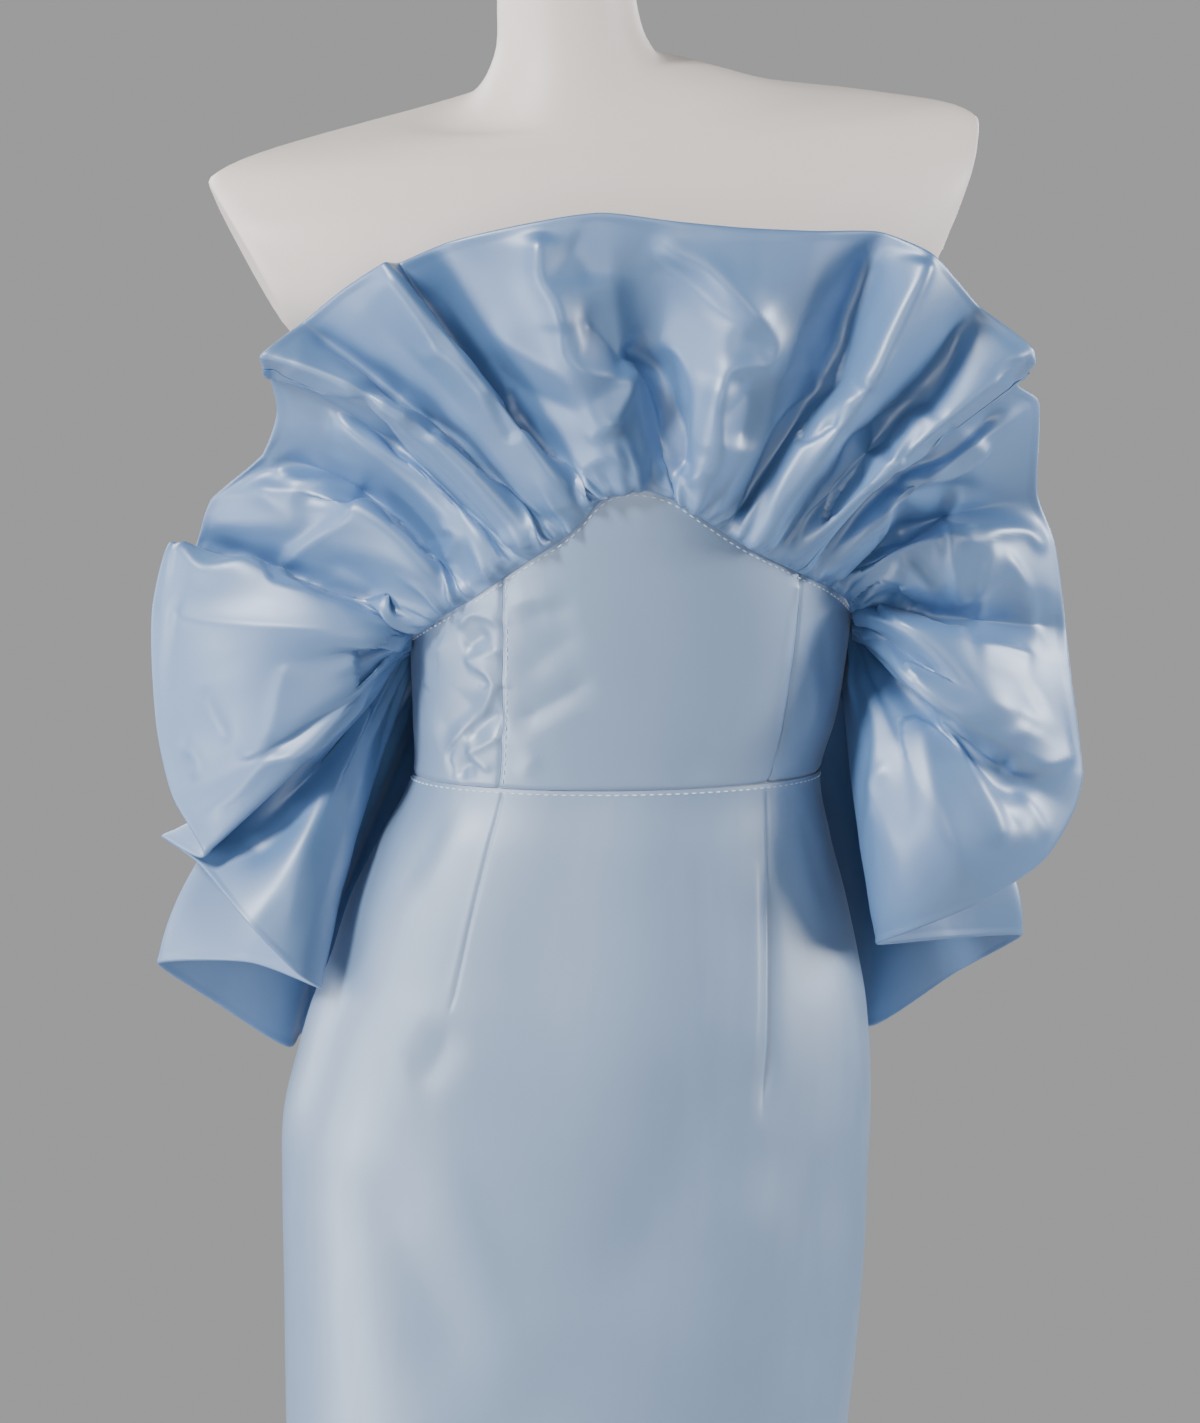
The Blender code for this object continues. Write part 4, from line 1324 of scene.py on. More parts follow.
@dataclass
class Studio:
    """A plain pale floor and surroundings, soft lights and the camera at the photograph's angle."""

    focal_pixels: float = 5348.0
    image_height: float = 1423.0
    distance: float = 3000.0
    height: float = 1480.0
    pitch: float = math.radians(6.968)
    sensor: float = 36.0
    nearest: float = 0.05
    farthest: float = 60.0
    paper: Triple = (0.50, 0.50, 0.51)
    paper_shift: float = 1.04
    backdrop: Triple = (0.37, 0.37, 0.375)
    ambient: float = 0.055
    ambient_colour: Triple = (0.80, 0.85, 0.92)
    floor_radius: float = 2.65
    floor_corners: int = 96
    fade: tuple[float, float] = (1.2, 2.6)
    lamp_shape: float = 1.6
    lamps: tuple[Lamp, ...] = table(
        Lamp,
        ("key", (-1.8, -1.7, 2.75), (0.0, 0.0, 1.15), 0.45, 116.0, (1.0, 0.985, 0.96)),
        ("low_left", (-2.3, -1.2, 0.55), (0.0, 0.0, 0.6), 0.7, 38.0),
        ("front_fill", (0.3, -3.3, 1.3), (0.0, 0.0, 1.0), 0.9, 25.0),
        ("side_left", (-1.6, 0.5, 1.2), (0.0, 0.0, 0.8), 0.5, 10.0),
        ("side_right", (1.7, -0.2, 1.5), (0.0, 0.0, 0.9), 0.4, 36.0),
        ("back_left", (-1.9, 2.4, 2.3), (0.0, 0.0, 1.0), 0.8, 46.0),
        ("back_right", (1.5, 2.6, 1.5), (0.0, 0.0, 0.8), 0.8, 26.0),
    )

    def hang(self, name: str, data: bpy.types.ID, place: Points, ahead: Points) -> bpy.types.Object:
        """Put a camera or a light in its place.

        Args:
            name: Its name.
            data: The camera or light.
            place: Its place in millimetres, square to the viewer.
            ahead: The way it looks.

        Returns:
            The object.
        """
        thing = added(name, data)
        thing.location = Vector(placed(place))
        thing.rotation_mode = "QUATERNION"
        thing.rotation_quaternion = Vector(placed(ahead)).to_track_quat("-Z", "Y")
        return thing

    def camera(self) -> None:
        """Make the camera."""
        data = bpy.data.cameras.new("camera")
        data.sensor_width = self.sensor
        data.lens = self.focal_pixels / self.image_height * self.sensor
        data.clip_start, data.clip_end = self.nearest, self.farthest
        ahead = np.array([0.0, math.cos(self.pitch), -math.sin(self.pitch)])
        place = np.array([0.0, -self.distance, self.height])
        bpy.context.scene.camera = self.hang("camera", data, place, ahead)

    def light(self, lamp: Lamp) -> None:
        """Make one of the lights."""
        data = bpy.data.lights.new(lamp.name, "AREA")
        data.shape = "RECTANGLE"
        data.size, data.size_y = lamp.side, lamp.side * self.lamp_shape
        data.energy = lamp.power
        data.color = lamp.colour
        place, aim = (np.array(p) / MM for p in (lamp.place, lamp.aim))
        self.hang(lamp.name, data, place, aim - place)

    def paper_finish(self) -> bpy.types.Material:
        """The floor's paper, which fades into the plain surroundings at its rim.  Returns: the material."""
        material = MottledFinish("studio_paper", self.paper, tuple(c * self.paper_shift for c in self.paper),
                                 0.85, mottle_scale=2.0, grain_scale=60.0, bump=0.01).make()
        tree = material.node_tree
        shader, output = tree.nodes["Principled BSDF"], tree.nodes["Material Output"]
        place = add_node(tree, "ShaderNodeTexCoord")
        radius = add_node(tree, "ShaderNodeVectorMath", {"operation": "LENGTH"})
        fade = add_node(tree, "ShaderNodeMapRange", {"interpolation_type": "SMOOTHSTEP"},
                        From_Min=self.fade[0], From_Max=self.fade[1])
        pale = add_node(tree, "ShaderNodeEmission", Color=(*self.backdrop, 1.0))
        mix = add_node(tree, "ShaderNodeMixShader")
        join(tree, (place, "Object", radius, 0), (radius, "Value", fade, "Value"), (fade, "Result", mix, 0),
             (shader, 0, mix, 1), (pale, 0, mix, 2), (mix, 0, output, "Surface"))
        return material

    def floor(self) -> None:
        """Make the plain pale floor, a round sheet that reaches well past the hem on every side."""
        angles = np.linspace(0.0, 2.0 * math.pi, self.floor_corners, endpoint=False)
        rim = np.stack([np.cos(angles), np.sin(angles), np.zeros(len(angles))], axis=-1) * self.floor_radius
        mesh = bpy.data.meshes.new("studio_floor")
        mesh.from_pydata(placed(rim / MM).tolist(), [], [tuple(range(len(rim)))])
        mesh.materials.append(self.paper_finish())
        added("studio_floor", mesh)

    def surroundings(self) -> None:
        """Make a plain pale backdrop on every side, which adds almost no light of its own to the satin."""
        world = bpy.data.worlds.new("studio")
        world.use_nodes = True
        tree = world.node_tree
        dim = tree.nodes["Background"]
        set_inputs(dim, Color=(*self.ambient_colour, 1.0), Strength=self.ambient)
        pale = add_node(tree, "ShaderNodeBackground", Color=(*self.backdrop, 1.0))
        path = add_node(tree, "ShaderNodeLightPath")
        mix = add_node(tree, "ShaderNodeMixShader")
        join(tree, (path, "Is Camera Ray", mix, 0), (dim, 0, mix, 1), (pale, 0, mix, 2),
             (mix, 0, tree.nodes["World Output"], "Surface"))
        bpy.context.scene.world = world

    def build(self) -> None:
        """Set up the whole studio."""
        self.camera()
        self.floor()
        self.surroundings()
        for lamp in self.lamps:
            self.light(lamp)


# ---------------------------------------------------------------- the dress's own creases

BODICE_CUTS: tuple[PanelCut, ...] = table(
    PanelCut,
    ("bodice_centre_front", -41.0, 41.0, (0.20, 0.19), ((-39.0, -8.0),)),
    ("bodice_side_left", -95.0, -41.0, (0.13, 0.15), ((-84.0, -43.0),)),
    ("bodice_side_right", 41.0, 95.0, (0.13, 0.15)),
    ("bodice_back_left", -180.0, -95.0, (0.17, 0.11)),
    ("bodice_back_right", 95.0, 180.0, (0.17, 0.11)),
)
SKIRT_CUTS: tuple[PanelCut, ...] = table(
    PanelCut,
    ("skirt_front", -95.0, 95.0, (1.02, 1.08), ((-42.5, -33.0), (30.0, 41.0))),
    ("skirt_back_left", -180.0, -95.0, (0.56, 1.08)),
    ("skirt_back_right", 95.0, 180.0, (0.56, 1.08)),
)
BODICE_CREASES: tuple[Crease, ...] = table(
    Crease,
    ("side_left_ridge_high", ((-56.5, 1166), (-54.5, 1171), (-51.5, 1176), (-47.5, 1177), (-43, 1174),
     (-41, 1168)), 5.5, 2.4, 1.4, 0.25, Lap.BELOW, 3),
    ("side_left_trough_high", ((-55, 1156), (-50.5, 1161), (-45, 1168)), 5.5, -2.6, 1.6, 0.3),
    ("side_left_ridge_upper", ((-54.5, 1149), (-48.5, 1154), (-40.5, 1158)), 4.4, 1.9, 1.4, 0.2, Lap.ABOVE,
     2.6),
    ("side_left_ridge_middle", ((-54, 1149), (-49, 1147), (-45.5, 1144), (-43.5, 1137), (-45, 1129),
     (-47.5, 1122), (-53.5, 1112), (-63.5, 1096)), 6, 3.2, 1.4, 0.2, Lap.BELOW, 2.8),
    ("side_left_hollow_middle", ((-50, 1137), (-52, 1126), (-59.5, 1114), (-69, 1103)), 9, -2.2, 1.8, 0.3),
    ("side_left_line", ((-47, 1122), (-51.5, 1114), (-57.5, 1104), (-61.5, 1095), (-60, 1088), (-58, 1081)),
     1.8, -1, 1.8, 0.15),
    ("side_left_trough_low", ((-40, 1123), (-46, 1118), (-50, 1112), (-53.5, 1105)), 6.5, -3, 1.6, 0.25),
    ("side_left_ridge_low", ((-40, 1110), (-44.5, 1106), (-49.5, 1101), (-54.5, 1098)), 4.6, 2.1, 1.4, 0.25,
     Lap.BELOW, 2.6),
    ("side_left_ridge_foot", ((-54.5, 1098), (-50.5, 1096), (-46.5, 1092), (-44, 1087)), 4.5, 1.6, 1.5,
     0.25, Lap.BELOW, 2.2),
    ("side_left_hollow_foot", ((-49, 1093), (-54.5, 1090), (-56.5, 1082)), 5, -2.2, 1.7, 0.3),
    ("side_left_shade_edge", ((-57, 1172), (-64.5, 1156), (-114, 1130)), 7, 2, 1.6, 0.3, Lap.LEFT, 4),
    ("side_left_nick", ((-77.5, 1133), (-70.5, 1129)), 1.8, -0.9, 1.6, 0.3),
    ("centre_left_trough", ((-39, 1117), (-32.5, 1122), (-24, 1132), (-14, 1145)), 8, -2.6, 1.5, 0.3),
    ("centre_left_ridge", ((-38, 1103), (-30.5, 1111), (-22.5, 1122), (-14, 1131)), 9, 0.9, 1.6, 0.3),
    ("centre_left_trough_high", ((-38, 1140), (-31.5, 1150), (-25.5, 1161), (-17, 1170)), 10, -1.8, 1.7,
     0.35),
    ("centre_left_soft_fold", ((-41.5, 1182), (-31.5, 1187), (-21.5, 1189)), 7, 1.6, 1.6, 0.4),
    ("centre_left_soft_trough", ((-37, 1174), (-28.5, 1180), (-19.5, 1182)), 8, -1.4, 1.6, 0.4),
    ("centre_waist_pucker_a", ((-34, 1084), (-32.5, 1092), (-29, 1102)), 6, 1.04, 1.6, 0.4),
    ("centre_waist_pucker_b", ((17, 1083), (17.5, 1093), (20.5, 1104)), 7, -0.91, 1.6, 0.4),
    ("right_princess_lip", ((40.5, 1193), (39, 1150), (41.5, 1083)), 1.5, 0.9, 2, 0.02),
    ("side_right_strain", ((42.5, 1161), (52.5, 1131), (54.5, 1102)), 6, 1, 1.6, 0.4),
    ("side_right_trough", ((47.5, 1177), (55.5, 1153), (62.5, 1123)), 7, -1, 1.6, 0.4),
    ("back_left_strain", ((-112, 1140), (-124, 1118), (-138, 1100)), 8, 1.4, 1.5, 0.35),
    ("back_left_trough", ((-118, 1102), (-132, 1112), (-150, 1118)), 9, -1.1, 1.6, 0.35),
    ("back_right_strain", ((115, 1138), (130, 1120), (142, 1096)), 8, 1.3, 1.5, 0.35),
    ("back_right_trough", ((124, 1100), (140, 1108), (158, 1112)), 9, -1, 1.6, 0.35),
)
SKIRT_CREASES: tuple[Crease, ...] = table(
    Crease,
    ("left_dart", ((-39, 1078), (-35.5, 1024), (-35, 961)), 1, -1, 1.6, 0.02),
    ("left_dart_lip", ((-40, 1076), (-36.5, 1022), (-36.5, 963)), 2.2, 0.25, 1.5, 0.1),
    ("right_dart", ((39.5, 1076), (38.5, 1026)), 1, -1.1, 1.6, 0.02),
    ("right_dart_fold", ((38.5, 1037), (37.5, 1010), (35, 965), (34, 923), (33, 887)), 5, -3.2, 1.3, 0.2),
    ("right_dart_lip", ((35.5, 1044), (33.5, 1005), (31.5, 955), (30, 910)), 7, 1.6, 1.3, 0.25),
    ("left_dart_dimple", ((-34, 954), (-35, 935), (-38, 922), (-42, 916)), 12, -2, 1.6, 0.35),
    ("left_dimple_lip", ((-28.5, 954), (-28.5, 934), (-32, 914), (-39.5, 902)), 15, 0.6, 1.8, 0.35),
    ("left_dimple_upper", ((-40.5, 963), (-43, 944), (-48, 928)), 12, 0.5, 1.8, 0.35),
    ("left_hip_drape", ((-53.5, 877), (-40.5, 829), (-31.5, 780), (-26.5, 728)), 26, -3, 1.8, 0.3),
    ("left_hip_swell", ((-37, 903), (-25.5, 854), (-17, 798), (-12, 728)), 26, 3, 1.8, 0.3),
    ("middle_drape", ((26, 950), (19, 896), (9.5, 835), (0.5, 774)), 30, -2.6, 1.8, 0.3),
    ("middle_swell", ((32.5, 876), (31, 825), (27, 775), (25, 723)), 30, 2.6, 1.8, 0.3),
    ("right_thigh_drape", ((53.5, 881), (52.5, 830), (50, 773), (51, 713)), 22, -2.6, 1.8, 0.3),
    ("waist_pull_left", ((-61.5, 1071), (-57.5, 1044), (-62.5, 1015)), 12, -1, 1.6, 0.35),
    ("waist_pull_left_ridge", ((-52.5, 1072), (-49, 1045), (-51, 1014)), 11, 0.8, 1.5, 0.35),
    ("waist_pull_right", ((56.5, 1068), (59.5, 1033), (62.5, 992)), 9, -1.2, 1.6, 0.35),
    ("back_left_seat_drape", ((-150, 960), (-138, 900), (-120, 840)), 16, 2.4, 1.6, 0.35),
    ("back_left_seat_trough", ((-162, 930), (-150, 860), (-132, 790)), 18, -2.2, 1.7, 0.35),
    ("back_left_waist_pull", ((-120, 1070), (-128, 1030), (-140, 985)), 9, -1.4, 1.5, 0.35),
    ("back_right_seat_drape", ((152, 955), (140, 905), (124, 850)), 16, 2.2, 1.6, 0.35),
    ("back_right_seat_trough", ((164, 915), (150, 850), (136, 800)), 18, -2.4, 1.7, 0.35),
    ("back_right_waist_pull", ((126, 1068), (134, 1025), (144, 990)), 9, -1.2, 1.5, 0.35),
    ("knee_left_drape", ((-96, 620), (-70, 560), (-40, 520)), 20, 2.6, 1.7, 0.35),
    ("knee_left_trough", ((-100, 570), (-74, 520), (-50, 490)), 18, -2.2, 1.7, 0.35),
    ("knee_right_drape", ((92, 600), (66, 548), (36, 512)), 20, 2.4, 1.7, 0.35),
    ("knee_back_drape", ((-170, 600), (-140, 555), (-112, 530)), 20, 2.4, 1.7, 0.35),
    ("knee_back_right_drape", ((168, 590), (140, 560), (110, 520)), 20, 2.2, 1.7, 0.35),
    ("flare_front_soft", ((-12, 460), (-16, 330), (-20, 180)), 24, 3, 1.8, 0.35),
    ("flare_right_soft", ((62, 440), (66, 300), (70, 150)), 24, -3, 1.8, 0.35),
    ("flare_left_soft", ((-70, 450), (-64, 320), (-62, 170)), 24, 2.8, 1.8, 0.35),
    ("flare_back_soft", ((150, 440), (146, 300), (142, 160)), 26, 3, 1.8, 0.35),
)
FLOUNCE_CREASES: tuple[Crease, ...] = table(
    Crease,
    ("left_first_edge", ((27.9, 1), (27.9, 0.92), (27.8, 0.8), (27.7, 0.7), (27.8, 0.63), (27.8, 0.52),
     (29.2, 0.43), (28.9, 0.3), (28.7, 0.17), (28.9, 0.07), (28.4, 0)), 16, 5, 1.1, 0.06, Lap.RIGHT),
    ("left_first_shadow", ((29.1, 0.95), (29.3, 0.83), (29.3, 0.7), (29.3, 0.58), (29.3, 0.37),
     (29.2, 0.17)), 10, -5, 1.6, 0.15),
    ("left_first_plane_dent", ((27.1, 0.93), (27, 0.72), (27.1, 0.55), (27, 0.37)), 12, -1.5, 1.6, 0.3),
    ("left_first_nick", ((27.8, 0.7), (27.5, 0.68), (27.1, 0.65)), 4, 1.2, 1.3, 0.35),
    ("left_second_hollow", ((25.9, 1), (25.9, 0.85), (25.9, 0.73), (25.8, 0.67), (25.8, 0.58), (26, 0.5),
     (26.4, 0.37), (26.3, 0.28), (26.4, 0.15), (26.6, 0.07), (26.7, 0)), 4.5, -5, 1.3, 0.1),
    ("left_second_roll", ((25, 0.67), (25, 0.55), (25.5, 0.47), (25.6, 0.37), (25.6, 0.3), (25.6, 0.18),
     (25.6, 0.1), (25.6, 0.03), (25.6, 0)), 13, 4.5, 1.1, 0.1, Lap.RIGHT),
    ("left_second_lip", ((24.6, 1), (24.2, 0.98), (24.4, 0.88), (24.5, 0.77), (25, 0.67)), 12, 4, 1.1, 0.1,
     Lap.BELOW),
    ("left_third_hollow", ((24.4, 0.77), (24.5, 0.7), (24.4, 0.6), (24.1, 0.53), (23.1, 0.57), (22.9, 0.45),
     (22.9, 0.33), (24, 0.13), (24.2, 0.08), (24.3, 0)), 4.5, -5, 1.3, 0.1),
    ("left_third_roll", ((23.6, 0.8), (23.2, 0.73), (22.9, 0.6), (22.8, 0.4), (23, 0.27), (23.6, 0.08),
     (23.6, 0)), 15, 4, 1.1, 0.1, Lap.RIGHT),
    ("left_third_dent", ((23.5, 0.9), (23.1, 0.85), (22.4, 0.7)), 8, -2, 1.6, 0.35),
    ("left_third_lip", ((22.1, 1), (21.5, 0.82), (21.3, 0.73), (21.7, 0.58), (21.8, 0.5)), 10, 3.2, 1.1,
     0.1, Lap.BELOW),
    ("left_wedge_hollow", ((21, 0.73), (20.9, 0.62), (21.3, 0.53), (21.5, 0.47), (21.5, 0.38), (21.4, 0.32),
     (21.6, 0.18), (21.7, 0.12), (21.9, 0.03)), 5, -4.5, 1.3, 0.1),
    ("left_wedge_ridge", ((21.6, 0.48), (21.3, 0.38), (21.2, 0.28), (21.5, 0.12), (21.6, 0)), 14, 3.5, 1.1,
     0.08, Lap.RIGHT),
    ("left_wedge_side", ((21.6, 0.48), (20.8, 0.5), (20.5, 0.58), (20.3, 0.62), (19, 0.52)), 14, 4.5, 1.1,
     0.08, Lap.LEFT),
    ("left_wedge_wave", ((20.5, 0.5), (20.6, 0.42), (20.7, 0.28), (20.9, 0.15), (21.5, 0.05)), 9, 2.2, 1.5,
     0.3),
    ("left_wedge_wave_dent", ((20.3, 0.48), (20.4, 0.4), (20.3, 0.25), (20, 0.17)), 9, -2.2, 1.5, 0.3),
    ("left_third_puff", ((22.5, 0.28), (22.7, 0.28), (22.7, 0.23), (22.4, 0.17), (21.8, 0.12)), 4, 3.4, 1.2,
     0.2),
    ("left_seam_loop_a", ((24.3, 0.08), (24.8, 0.08), (25.6, 0.07), (25.6, 0.02), (25.1, 0)), 4, 4.2, 1.2,
     0.15),
    ("left_seam_loop_b", ((25.1, 0.07), (24.8, 0.03), (24.7, 0)), 3, 3, 1.2, 0.2),
    ("left_seam_loop_c", ((27.3, 0.03), (27.3, 0), (26.8, 0)), 3.5, 3.6, 1.2, 0.2),
    ("left_seam_loop_d", ((29.5, 0.12), (29.9, 0.08), (29.9, 0.03), (29.6, 0)), 4, 4, 1.2, 0.2),
    ("left_pocket_soft", ((21.6, 0.98), (20.9, 0.8), (20.7, 0.68), (20.5, 0.6)), 9, 2.4, 1.4, 0.3),
    ("left_pocket_roll", ((20.5, 1), (20.6, 0.95), (20.6, 0.83), (20.6, 0.7), (20.5, 0.58)), 9, 2.6, 1.3,
     0.25),
    ("left_drop_lip", ((18.9, 0.98), (18.9, 0.9), (18.7, 0.83), (18.7, 0.77), (19, 0.63), (19.4, 0.53),
     (18.7, 0.38), (18.6, 0.27), (18.4, 0.15), (17.4, 0.02)), 16, 5, 1.1, 0.06, Lap.ABOVE),
    ("left_drop_lip_shadow", ((19.2, 0.9), (19.5, 0.87), (20.3, 0.8), (20.2, 0.65), (19.1, 0.38),
     (18.9, 0.23), (19.2, 0.13)), 6, -4.5, 1.4, 0.1),
    ("left_drop_line", ((16, 0.67), (16.4, 0.58), (16.7, 0.52), (17.2, 0.47)), 10, 2, 1.1, 0.2, Lap.LEFT, 4),
    ("left_drop_line_b", ((17.2, 0.8), (16.7, 0.77), (16.3, 0.75)), 9, 1.8, 1.1, 0.25, Lap.RIGHT, 4),
    ("left_drop_small_ridge", ((16.7, 0.92), (16.3, 0.88), (16, 0.93)), 5, 2, 1.2, 0.3),
    ("left_drop_fold", ((16, 0.68), (15.8, 0.6), (15.8, 0.48), (15.5, 0.4), (14.9, 0.32), (13.9, 0.07)), 6,
     -4.5, 1.2, 0.1),
    ("left_drop_fold_lip", ((16.1, 0.77), (16, 0.68), (16, 0.53), (15.6, 0.4), (15, 0.32)), 12, 2.6, 1.1,
     0.12, Lap.BELOW),
    ("left_drop_roll", ((14.9, 0.67), (15.2, 0.67), (15.6, 0.73), (15.5, 0.83), (15.5, 0.9), (14.5, 0.93)),
     7, 3.2, 1.15, 0.15, Lap.BELOW, 5),
    ("left_drop_roll_b", ((14.7, 0.38), (14.7, 0.55), (14.8, 0.63), (14.6, 0.67)), 6, 2.4, 1.2, 0.2),
    ("left_sleeve_soft", ((12.6, 0.37), (12.2, 0.47), (11.9, 0.63), (11.6, 0.8), (11.4, 0.93)), 10, 3, 1.4,
     0.25),
    ("left_sleeve_dent", ((11.6, 0.33), (11.4, 0.43), (9.6, 0.62), (10.6, 0.82)), 9, -2.5, 1.5, 0.3),
    ("left_sleeve_side_dent", ((13, 0.8), (12.6, 0.75), (12.6, 0.62), (12.7, 0.53)), 9, -3, 1.5, 0.3),
    ("panel_pocket", ((31.2, 0.62), (31.5, 0.6), (31.8, 0.52), (32.2, 0.45)), 9, -5, 1.4, 0.2),
    ("panel_upper_dent", ((31.3, 0.92), (31.6, 0.83), (31.6, 0.73)), 14, -3.5, 1.6, 0.3),
    ("panel_top_groove", ((32.7, 0.9), (33.3, 0.87), (33.8, 0.78), (34.3, 0.72)), 5, -2.6, 1.3, 0.2),
    ("panel_under_hook", ((34.3, 0.55), (34.6, 0.48), (34.7, 0.38), (34.7, 0.28)), 10, -4, 1.5, 0.25),
    ("panel_deep_valley", ((32.2, 0.55), (32.7, 0.6), (33, 0.6), (33.2, 0.5), (33.4, 0.37), (33.4, 0.18)),
     7, -8, 1.3, 0.1),
    ("panel_valley_left_edge", ((32.1, 0.47), (32.6, 0.48), (32.9, 0.42), (33.2, 0.3), (33.3, 0.18)), 12, 4,
     1.1, 0.1, Lap.RIGHT),
    ("panel_valley_right_edge", ((32.9, 0.68), (33.3, 0.67), (33.5, 0.6), (33.6, 0.52), (33.6, 0.42),
     (33.6, 0.25)), 9, 3, 1.2, 0.15, Lap.LEFT),
    ("panel_left_wave", ((30, 0.73), (30.3, 0.62), (30.7, 0.48), (31.3, 0.37)), 9, 3, 1.3, 0.25),
    ("panel_left_trough", ((29.4, 0.68), (29.7, 0.53), (30.4, 0.38), (31.2, 0.3)), 10, -3, 1.5, 0.3),
    ("panel_lower_roll", ((29.4, 0.15), (30.3, 0.15), (31, 0.15), (31.4, 0.1), (31.5, 0.05), (30.1, 0)), 7,
     3.6, 1.2, 0.2),
    ("panel_lower_nick", ((30.6, 0.22), (31.1, 0.25), (31.5, 0.28)), 4, 1.6, 1.3, 0.3),
    ("right_panel_edge", ((36.1, 0.48), (35.7, 0.43), (35.5, 0.38), (35.4, 0.3), (35.5, 0.15),
     (35.7, 0.03)), 16, 4.5, 1.1, 0.1, Lap.RIGHT),
    ("right_first_hollow", ((35.9, 0.97), (35.9, 0.82), (35.9, 0.7), (36.2, 0.58), (36.3, 0.5),
     (35.8, 0.43), (35.6, 0.37), (35.6, 0.27), (35.8, 0.15), (35.9, 0.03)), 7, -5.5, 1.3, 0.1),
    ("right_first_roll", ((37, 0.98), (37, 0.9), (36.9, 0.78), (36.9, 0.67), (37, 0.58), (37, 0.5)), 16,
     4.5, 1.1, 0.06, Lap.RIGHT),
    ("right_first_roll_low", ((37, 0.5), (36.8, 0.45), (36.6, 0.38), (36.6, 0.32), (36.7, 0.22),
     (36.9, 0.13), (37.4, 0.05), (37.6, 0)), 12, 3.8, 1.15, 0.1, Lap.RIGHT, 4),
    ("right_first_knuckle", ((36.6, 0.38), (36.9, 0.37), (37.3, 0.37)), 4, -2, 1.3, 0.3),
    ("right_second_hollow", ((38, 0.98), (38, 0.87), (38.2, 0.75), (38.3, 0.65), (38, 0.55), (37.7, 0.43),
     (37.5, 0.37), (37.7, 0.28), (37.7, 0.22), (37.9, 0.13), (38.2, 0.07), (38.3, 0)), 7, -5.5, 1.3, 0.1),
    ("right_second_roll", ((39.1, 1), (39.6, 0.95), (39.6, 0.87), (39.6, 0.78), (39.6, 0.72)), 15, 4.5, 1.1,
     0.06, Lap.BELOW),
    ("right_second_roll_low", ((39.6, 0.72), (39.5, 0.62), (39, 0.48), (38.2, 0.38), (38.1, 0.28),
     (37.9, 0.18), (38.2, 0.1), (38.4, 0.02)), 12, 4.2, 1.1, 0.08, Lap.RIGHT),
    ("right_second_wing", ((38, 0.55), (38.6, 0.62), (39.6, 0.72)), 6, 2.2, 1.2, 0.25, Lap.ABOVE),
    ("right_third_hollow", ((40.4, 0.93), (40.6, 0.77), (40.6, 0.65), (40.3, 0.57), (40, 0.48),
     (39.9, 0.38), (40.3, 0.23), (40.5, 0.08), (40.4, 0)), 6, -5, 1.3, 0.1),
    ("right_third_roll", ((41.2, 0.8), (41.3, 0.73), (41.3, 0.63), (41, 0.53), (40.5, 0.52), (40.3, 0.48)),
     12, 4.5, 1.1, 0.1, Lap.BELOW),
    ("right_third_roll_low", ((40.3, 0.48), (41, 0.35), (41.6, 0.38), (41.6, 0.28), (41.6, 0.13),
     (41.5, 0.02)), 9, 3.6, 1.15, 0.1, Lap.RIGHT),
    ("right_dark_hollow", ((41.7, 0.82), (41.5, 0.62), (41, 0.42), (41.9, 0.48), (43.6, 0.4), (43.6, 0.48)),
     12, -6, 1.5, 0.2),
    ("right_lit_edge", ((41.6, 0.72), (41.8, 0.68), (42.5, 0.6), (43.6, 0.5), (44.3, 0.53), (44.6, 0.62)),
     14, 4.5, 1.1, 0.1, Lap.LEFT),
    ("right_lit_roll", ((43, 0.55), (43.3, 0.63), (43.1, 0.75), (43, 0.87), (43.2, 0.92), (43, 0.98)), 9, 3,
     1.2, 0.15, Lap.BELOW),
    ("right_v_left", ((43.2, 0.73), (43.9, 0.63), (44.7, 0.67), (45.6, 0.68)), 8, 2.6, 1.2, 0.15, Lap.LEFT),
    ("right_v_right", ((43.4, 0.73), (43.8, 0.8), (44.5, 0.88), (46, 0.92)), 9, 2.6, 1.2, 0.15, Lap.RIGHT),
    ("right_v_floor", ((46.1, 0.67), (46, 0.78), (46.1, 0.9)), 8, 3, 1.15, 0.2, Lap.ABOVE),
    ("right_gather_high", ((44.7, 0.05), (43.8, 0.13), (43.6, 0.23), (43.4, 0.3), (44.1, 0.38),
     (45.2, 0.62)), 8, 3.6, 1.15, 0.1, Lap.ABOVE),
    ("right_gather_pocket", ((44.4, 0.2), (44.7, 0.4), (45.3, 0.55), (45.6, 0.65)), 7, -5, 1.3, 0.15),
    ("right_gather_low", ((44.9, 0), (44.4, 0.13), (44.6, 0.27), (45.4, 0.5), (45.6, 0.63), (45.6, 0.68)),
     12, 4, 1.1, 0.08, Lap.ABOVE),
    ("right_overhang", ((47.7, 0.08), (47.6, 0.2), (48.1, 0.38), (48.1, 0.48), (48.1, 0.58), (48.8, 0.68),
     (49, 0.77)), 14, 4.5, 1.1, 0.08, Lap.BELOW),
    ("right_overhang_low", ((49, 0.77), (48.7, 0.83), (48.1, 0.9), (47.6, 0.97)), 12, 4, 1.1, 0.08,
     Lap.BELOW),
    ("right_overhang_shadow", ((50.3, 0.15), (50.2, 0.25), (49.3, 0.47), (49.2, 0.6), (49.5, 0.65),
     (49.4, 0.78), (48.9, 0.88)), 8, -4.5, 1.3, 0.12),
    ("right_bulge_dent", ((46.6, 0.87), (47.2, 0.75), (47.6, 0.77)), 14, -2.5, 1.6, 0.35),
    ("right_sleeve_ridge", ((48.9, 0.48), (49.5, 0.52), (50.1, 0.57), (50.2, 0.72), (50.4, 0.85)), 9, 3.2,
     1.15, 0.12, Lap.RIGHT, 4),
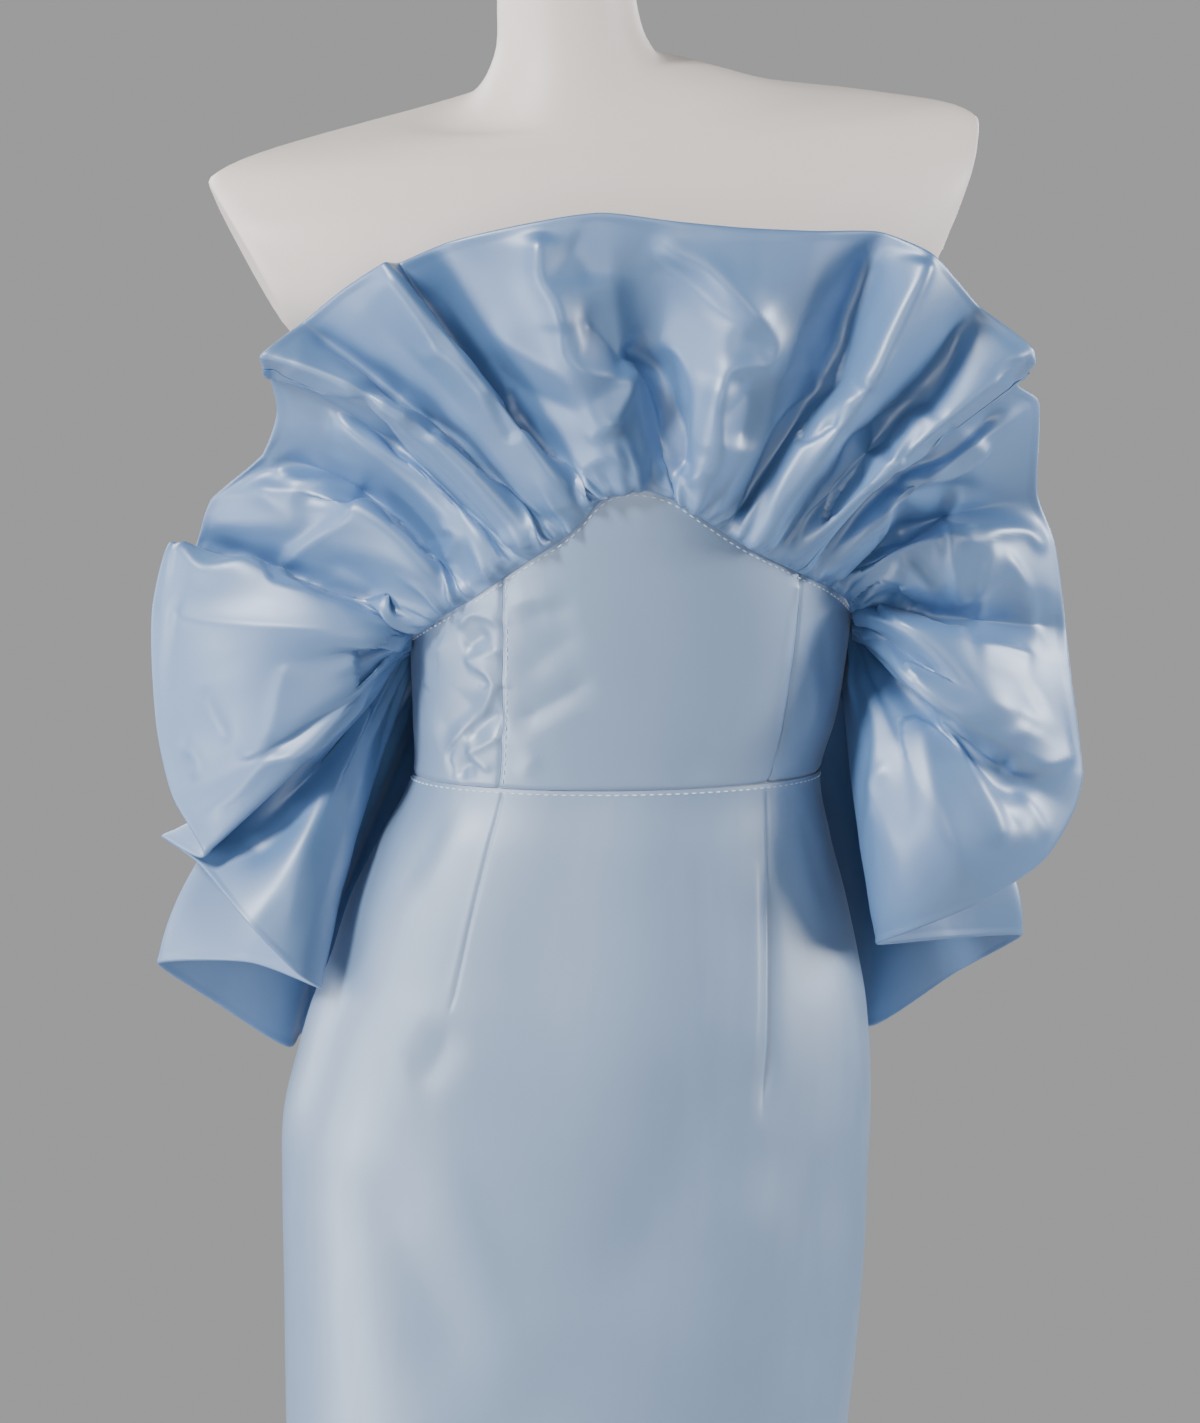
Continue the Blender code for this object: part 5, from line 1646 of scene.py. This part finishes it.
    ("right_sleeve_ridge_dent", ((49.7, 0.63), (50, 0.77), (49.9, 0.87)), 8, -2.5, 1.4, 0.3),
    ("right_sleeve_crease", ((49.3, 0.82), (49.5, 0.88), (49.7, 0.97)), 6, 2, 1.2, 0.25, Lap.RIGHT),
    ("right_sleeve_swell", ((50.2, 0.28), (50.5, 0.4), (50.8, 0.6), (50.9, 0.78), (51.2, 0.93)), 10, 2.5,
     1.3, 0.2),
    ("right_sleeve_dent", ((50.5, 0.23), (50.9, 0.38), (51.4, 0.57), (51.9, 0.7)), 12, -3, 1.5, 0.3),
    ("right_sleeve_edge", ((51.4, 0.12), (51.4, 0.3), (52.2, 0.52), (53.3, 0.73), (52.6, 0.98)), 8, 2.6,
     1.15, 0.1, Lap.LEFT, 4),
    ("right_sleeve_nick", ((51.4, 0.43), (51.9, 0.47), (52.3, 0.5)), 4, 1.5, 1.3, 0.3),
    ("panel_s_fold", ((31.1, 0.97), (31, 0.92), (30.9, 0.82), (31, 0.72), (31, 0.65), (30.9, 0.57),
     (30.9, 0.52), (31.2, 0.45), (31.6, 0.42), (32, 0.4), (32, 0.37), (31.5, 0.28), (30.9, 0.22)), 7, 4.2,
     1.15, 0.07),
    ("panel_s_plane", ((31.1, 0.97), (31, 0.9), (30.9, 0.8), (31, 0.7), (30.9, 0.6)), 15, 2.6, 1.2, 0.15,
     Lap.RIGHT, 6),
    ("panel_b_fold", ((32.7, 0.95), (33.2, 0.93), (33.6, 0.9), (34, 0.83), (34.4, 0.75), (34.7, 0.67),
     (34.8, 0.62), (34.7, 0.58), (34.4, 0.6), (34.1, 0.6), (34, 0.55), (34, 0.48), (34.1, 0.38),
     (34.2, 0.3), (34.2, 0.23), (33.9, 0.22), (33.7, 0.13)), 7, 4.2, 1.15, 0.06),
    ("panel_b_plane", ((32.9, 0.95), (33.4, 0.92), (33.8, 0.87), (34.2, 0.8), (34.6, 0.7)), 16, 2.6, 1.2,
     0.15, Lap.RIGHT, 9),
    ("panel_c_plane", ((34.1, 0.57), (34, 0.48), (34.1, 0.38), (34.2, 0.28)), 13, 2.4, 1.2, 0.2, Lap.RIGHT,
     5),
    ("left_drop_ridge", ((18, 0.95), (17.9, 0.82), (17.9, 0.65), (17.9, 0.43), (17.8, 0.23), (16.8, 0.03)),
     12, 5.5, 1.2, 0.1, Lap.BELOW, 24),
)


def main() -> None:
    """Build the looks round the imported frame."""
    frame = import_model()
    satin = SatinFinish(drape_bump=0.03).make()
    # The flounce is the same satin as the bodice and skirt. It is drawn with a darker, more saturated base
    # colour as painted shade for its deep pleats, and with a weaker coat.
    painted_shade_satin = SatinFinish("ice_blue_satin_painted_shade", (0.075, 0.185, 0.410), (0.115, 0.240, 0.470),
                                 coat=0.6).make()
    body = DressedBody()
    Studio().build()
    Bodice(body, satin, BODICE_CUTS, BODICE_CREASES).build()
    Skirt(body, satin, SKIRT_CUTS, SKIRT_CREASES).build()
    gathers = tuple(gather.crease() for gather in GatherRun().gathers())
    Flounce(body, painted_shade_satin, FLOUNCE_CREASES + gathers).build()
    shell = MottledFinish("warm_white_shell", (0.76, 0.69, 0.65), (0.80, 0.73, 0.69), 0.5).make()
    DressForm(body, shell).build()
    steel = MottledFinish("brushed_steel", (0.48, 0.48, 0.49), (0.60, 0.60, 0.61), 0.34, 1.0,
                          grain_scale=300.0, grain_stretch=(1.0, 1.0, 14.0), bump=0.08).make()
    for name in ("stand_base", "stand_collar", "stand_pole", "stand_flange"):
        for material_slot in frame["nodes"][name].material_slots:
            material_slot.material = steel
    thread = MottledFinish("pale_thread", (0.66, 0.76, 0.90), (0.78, 0.86, 0.96), 0.5).make()
    StitchRows(body, thread).build()


if __name__ == "__main__":
    main()
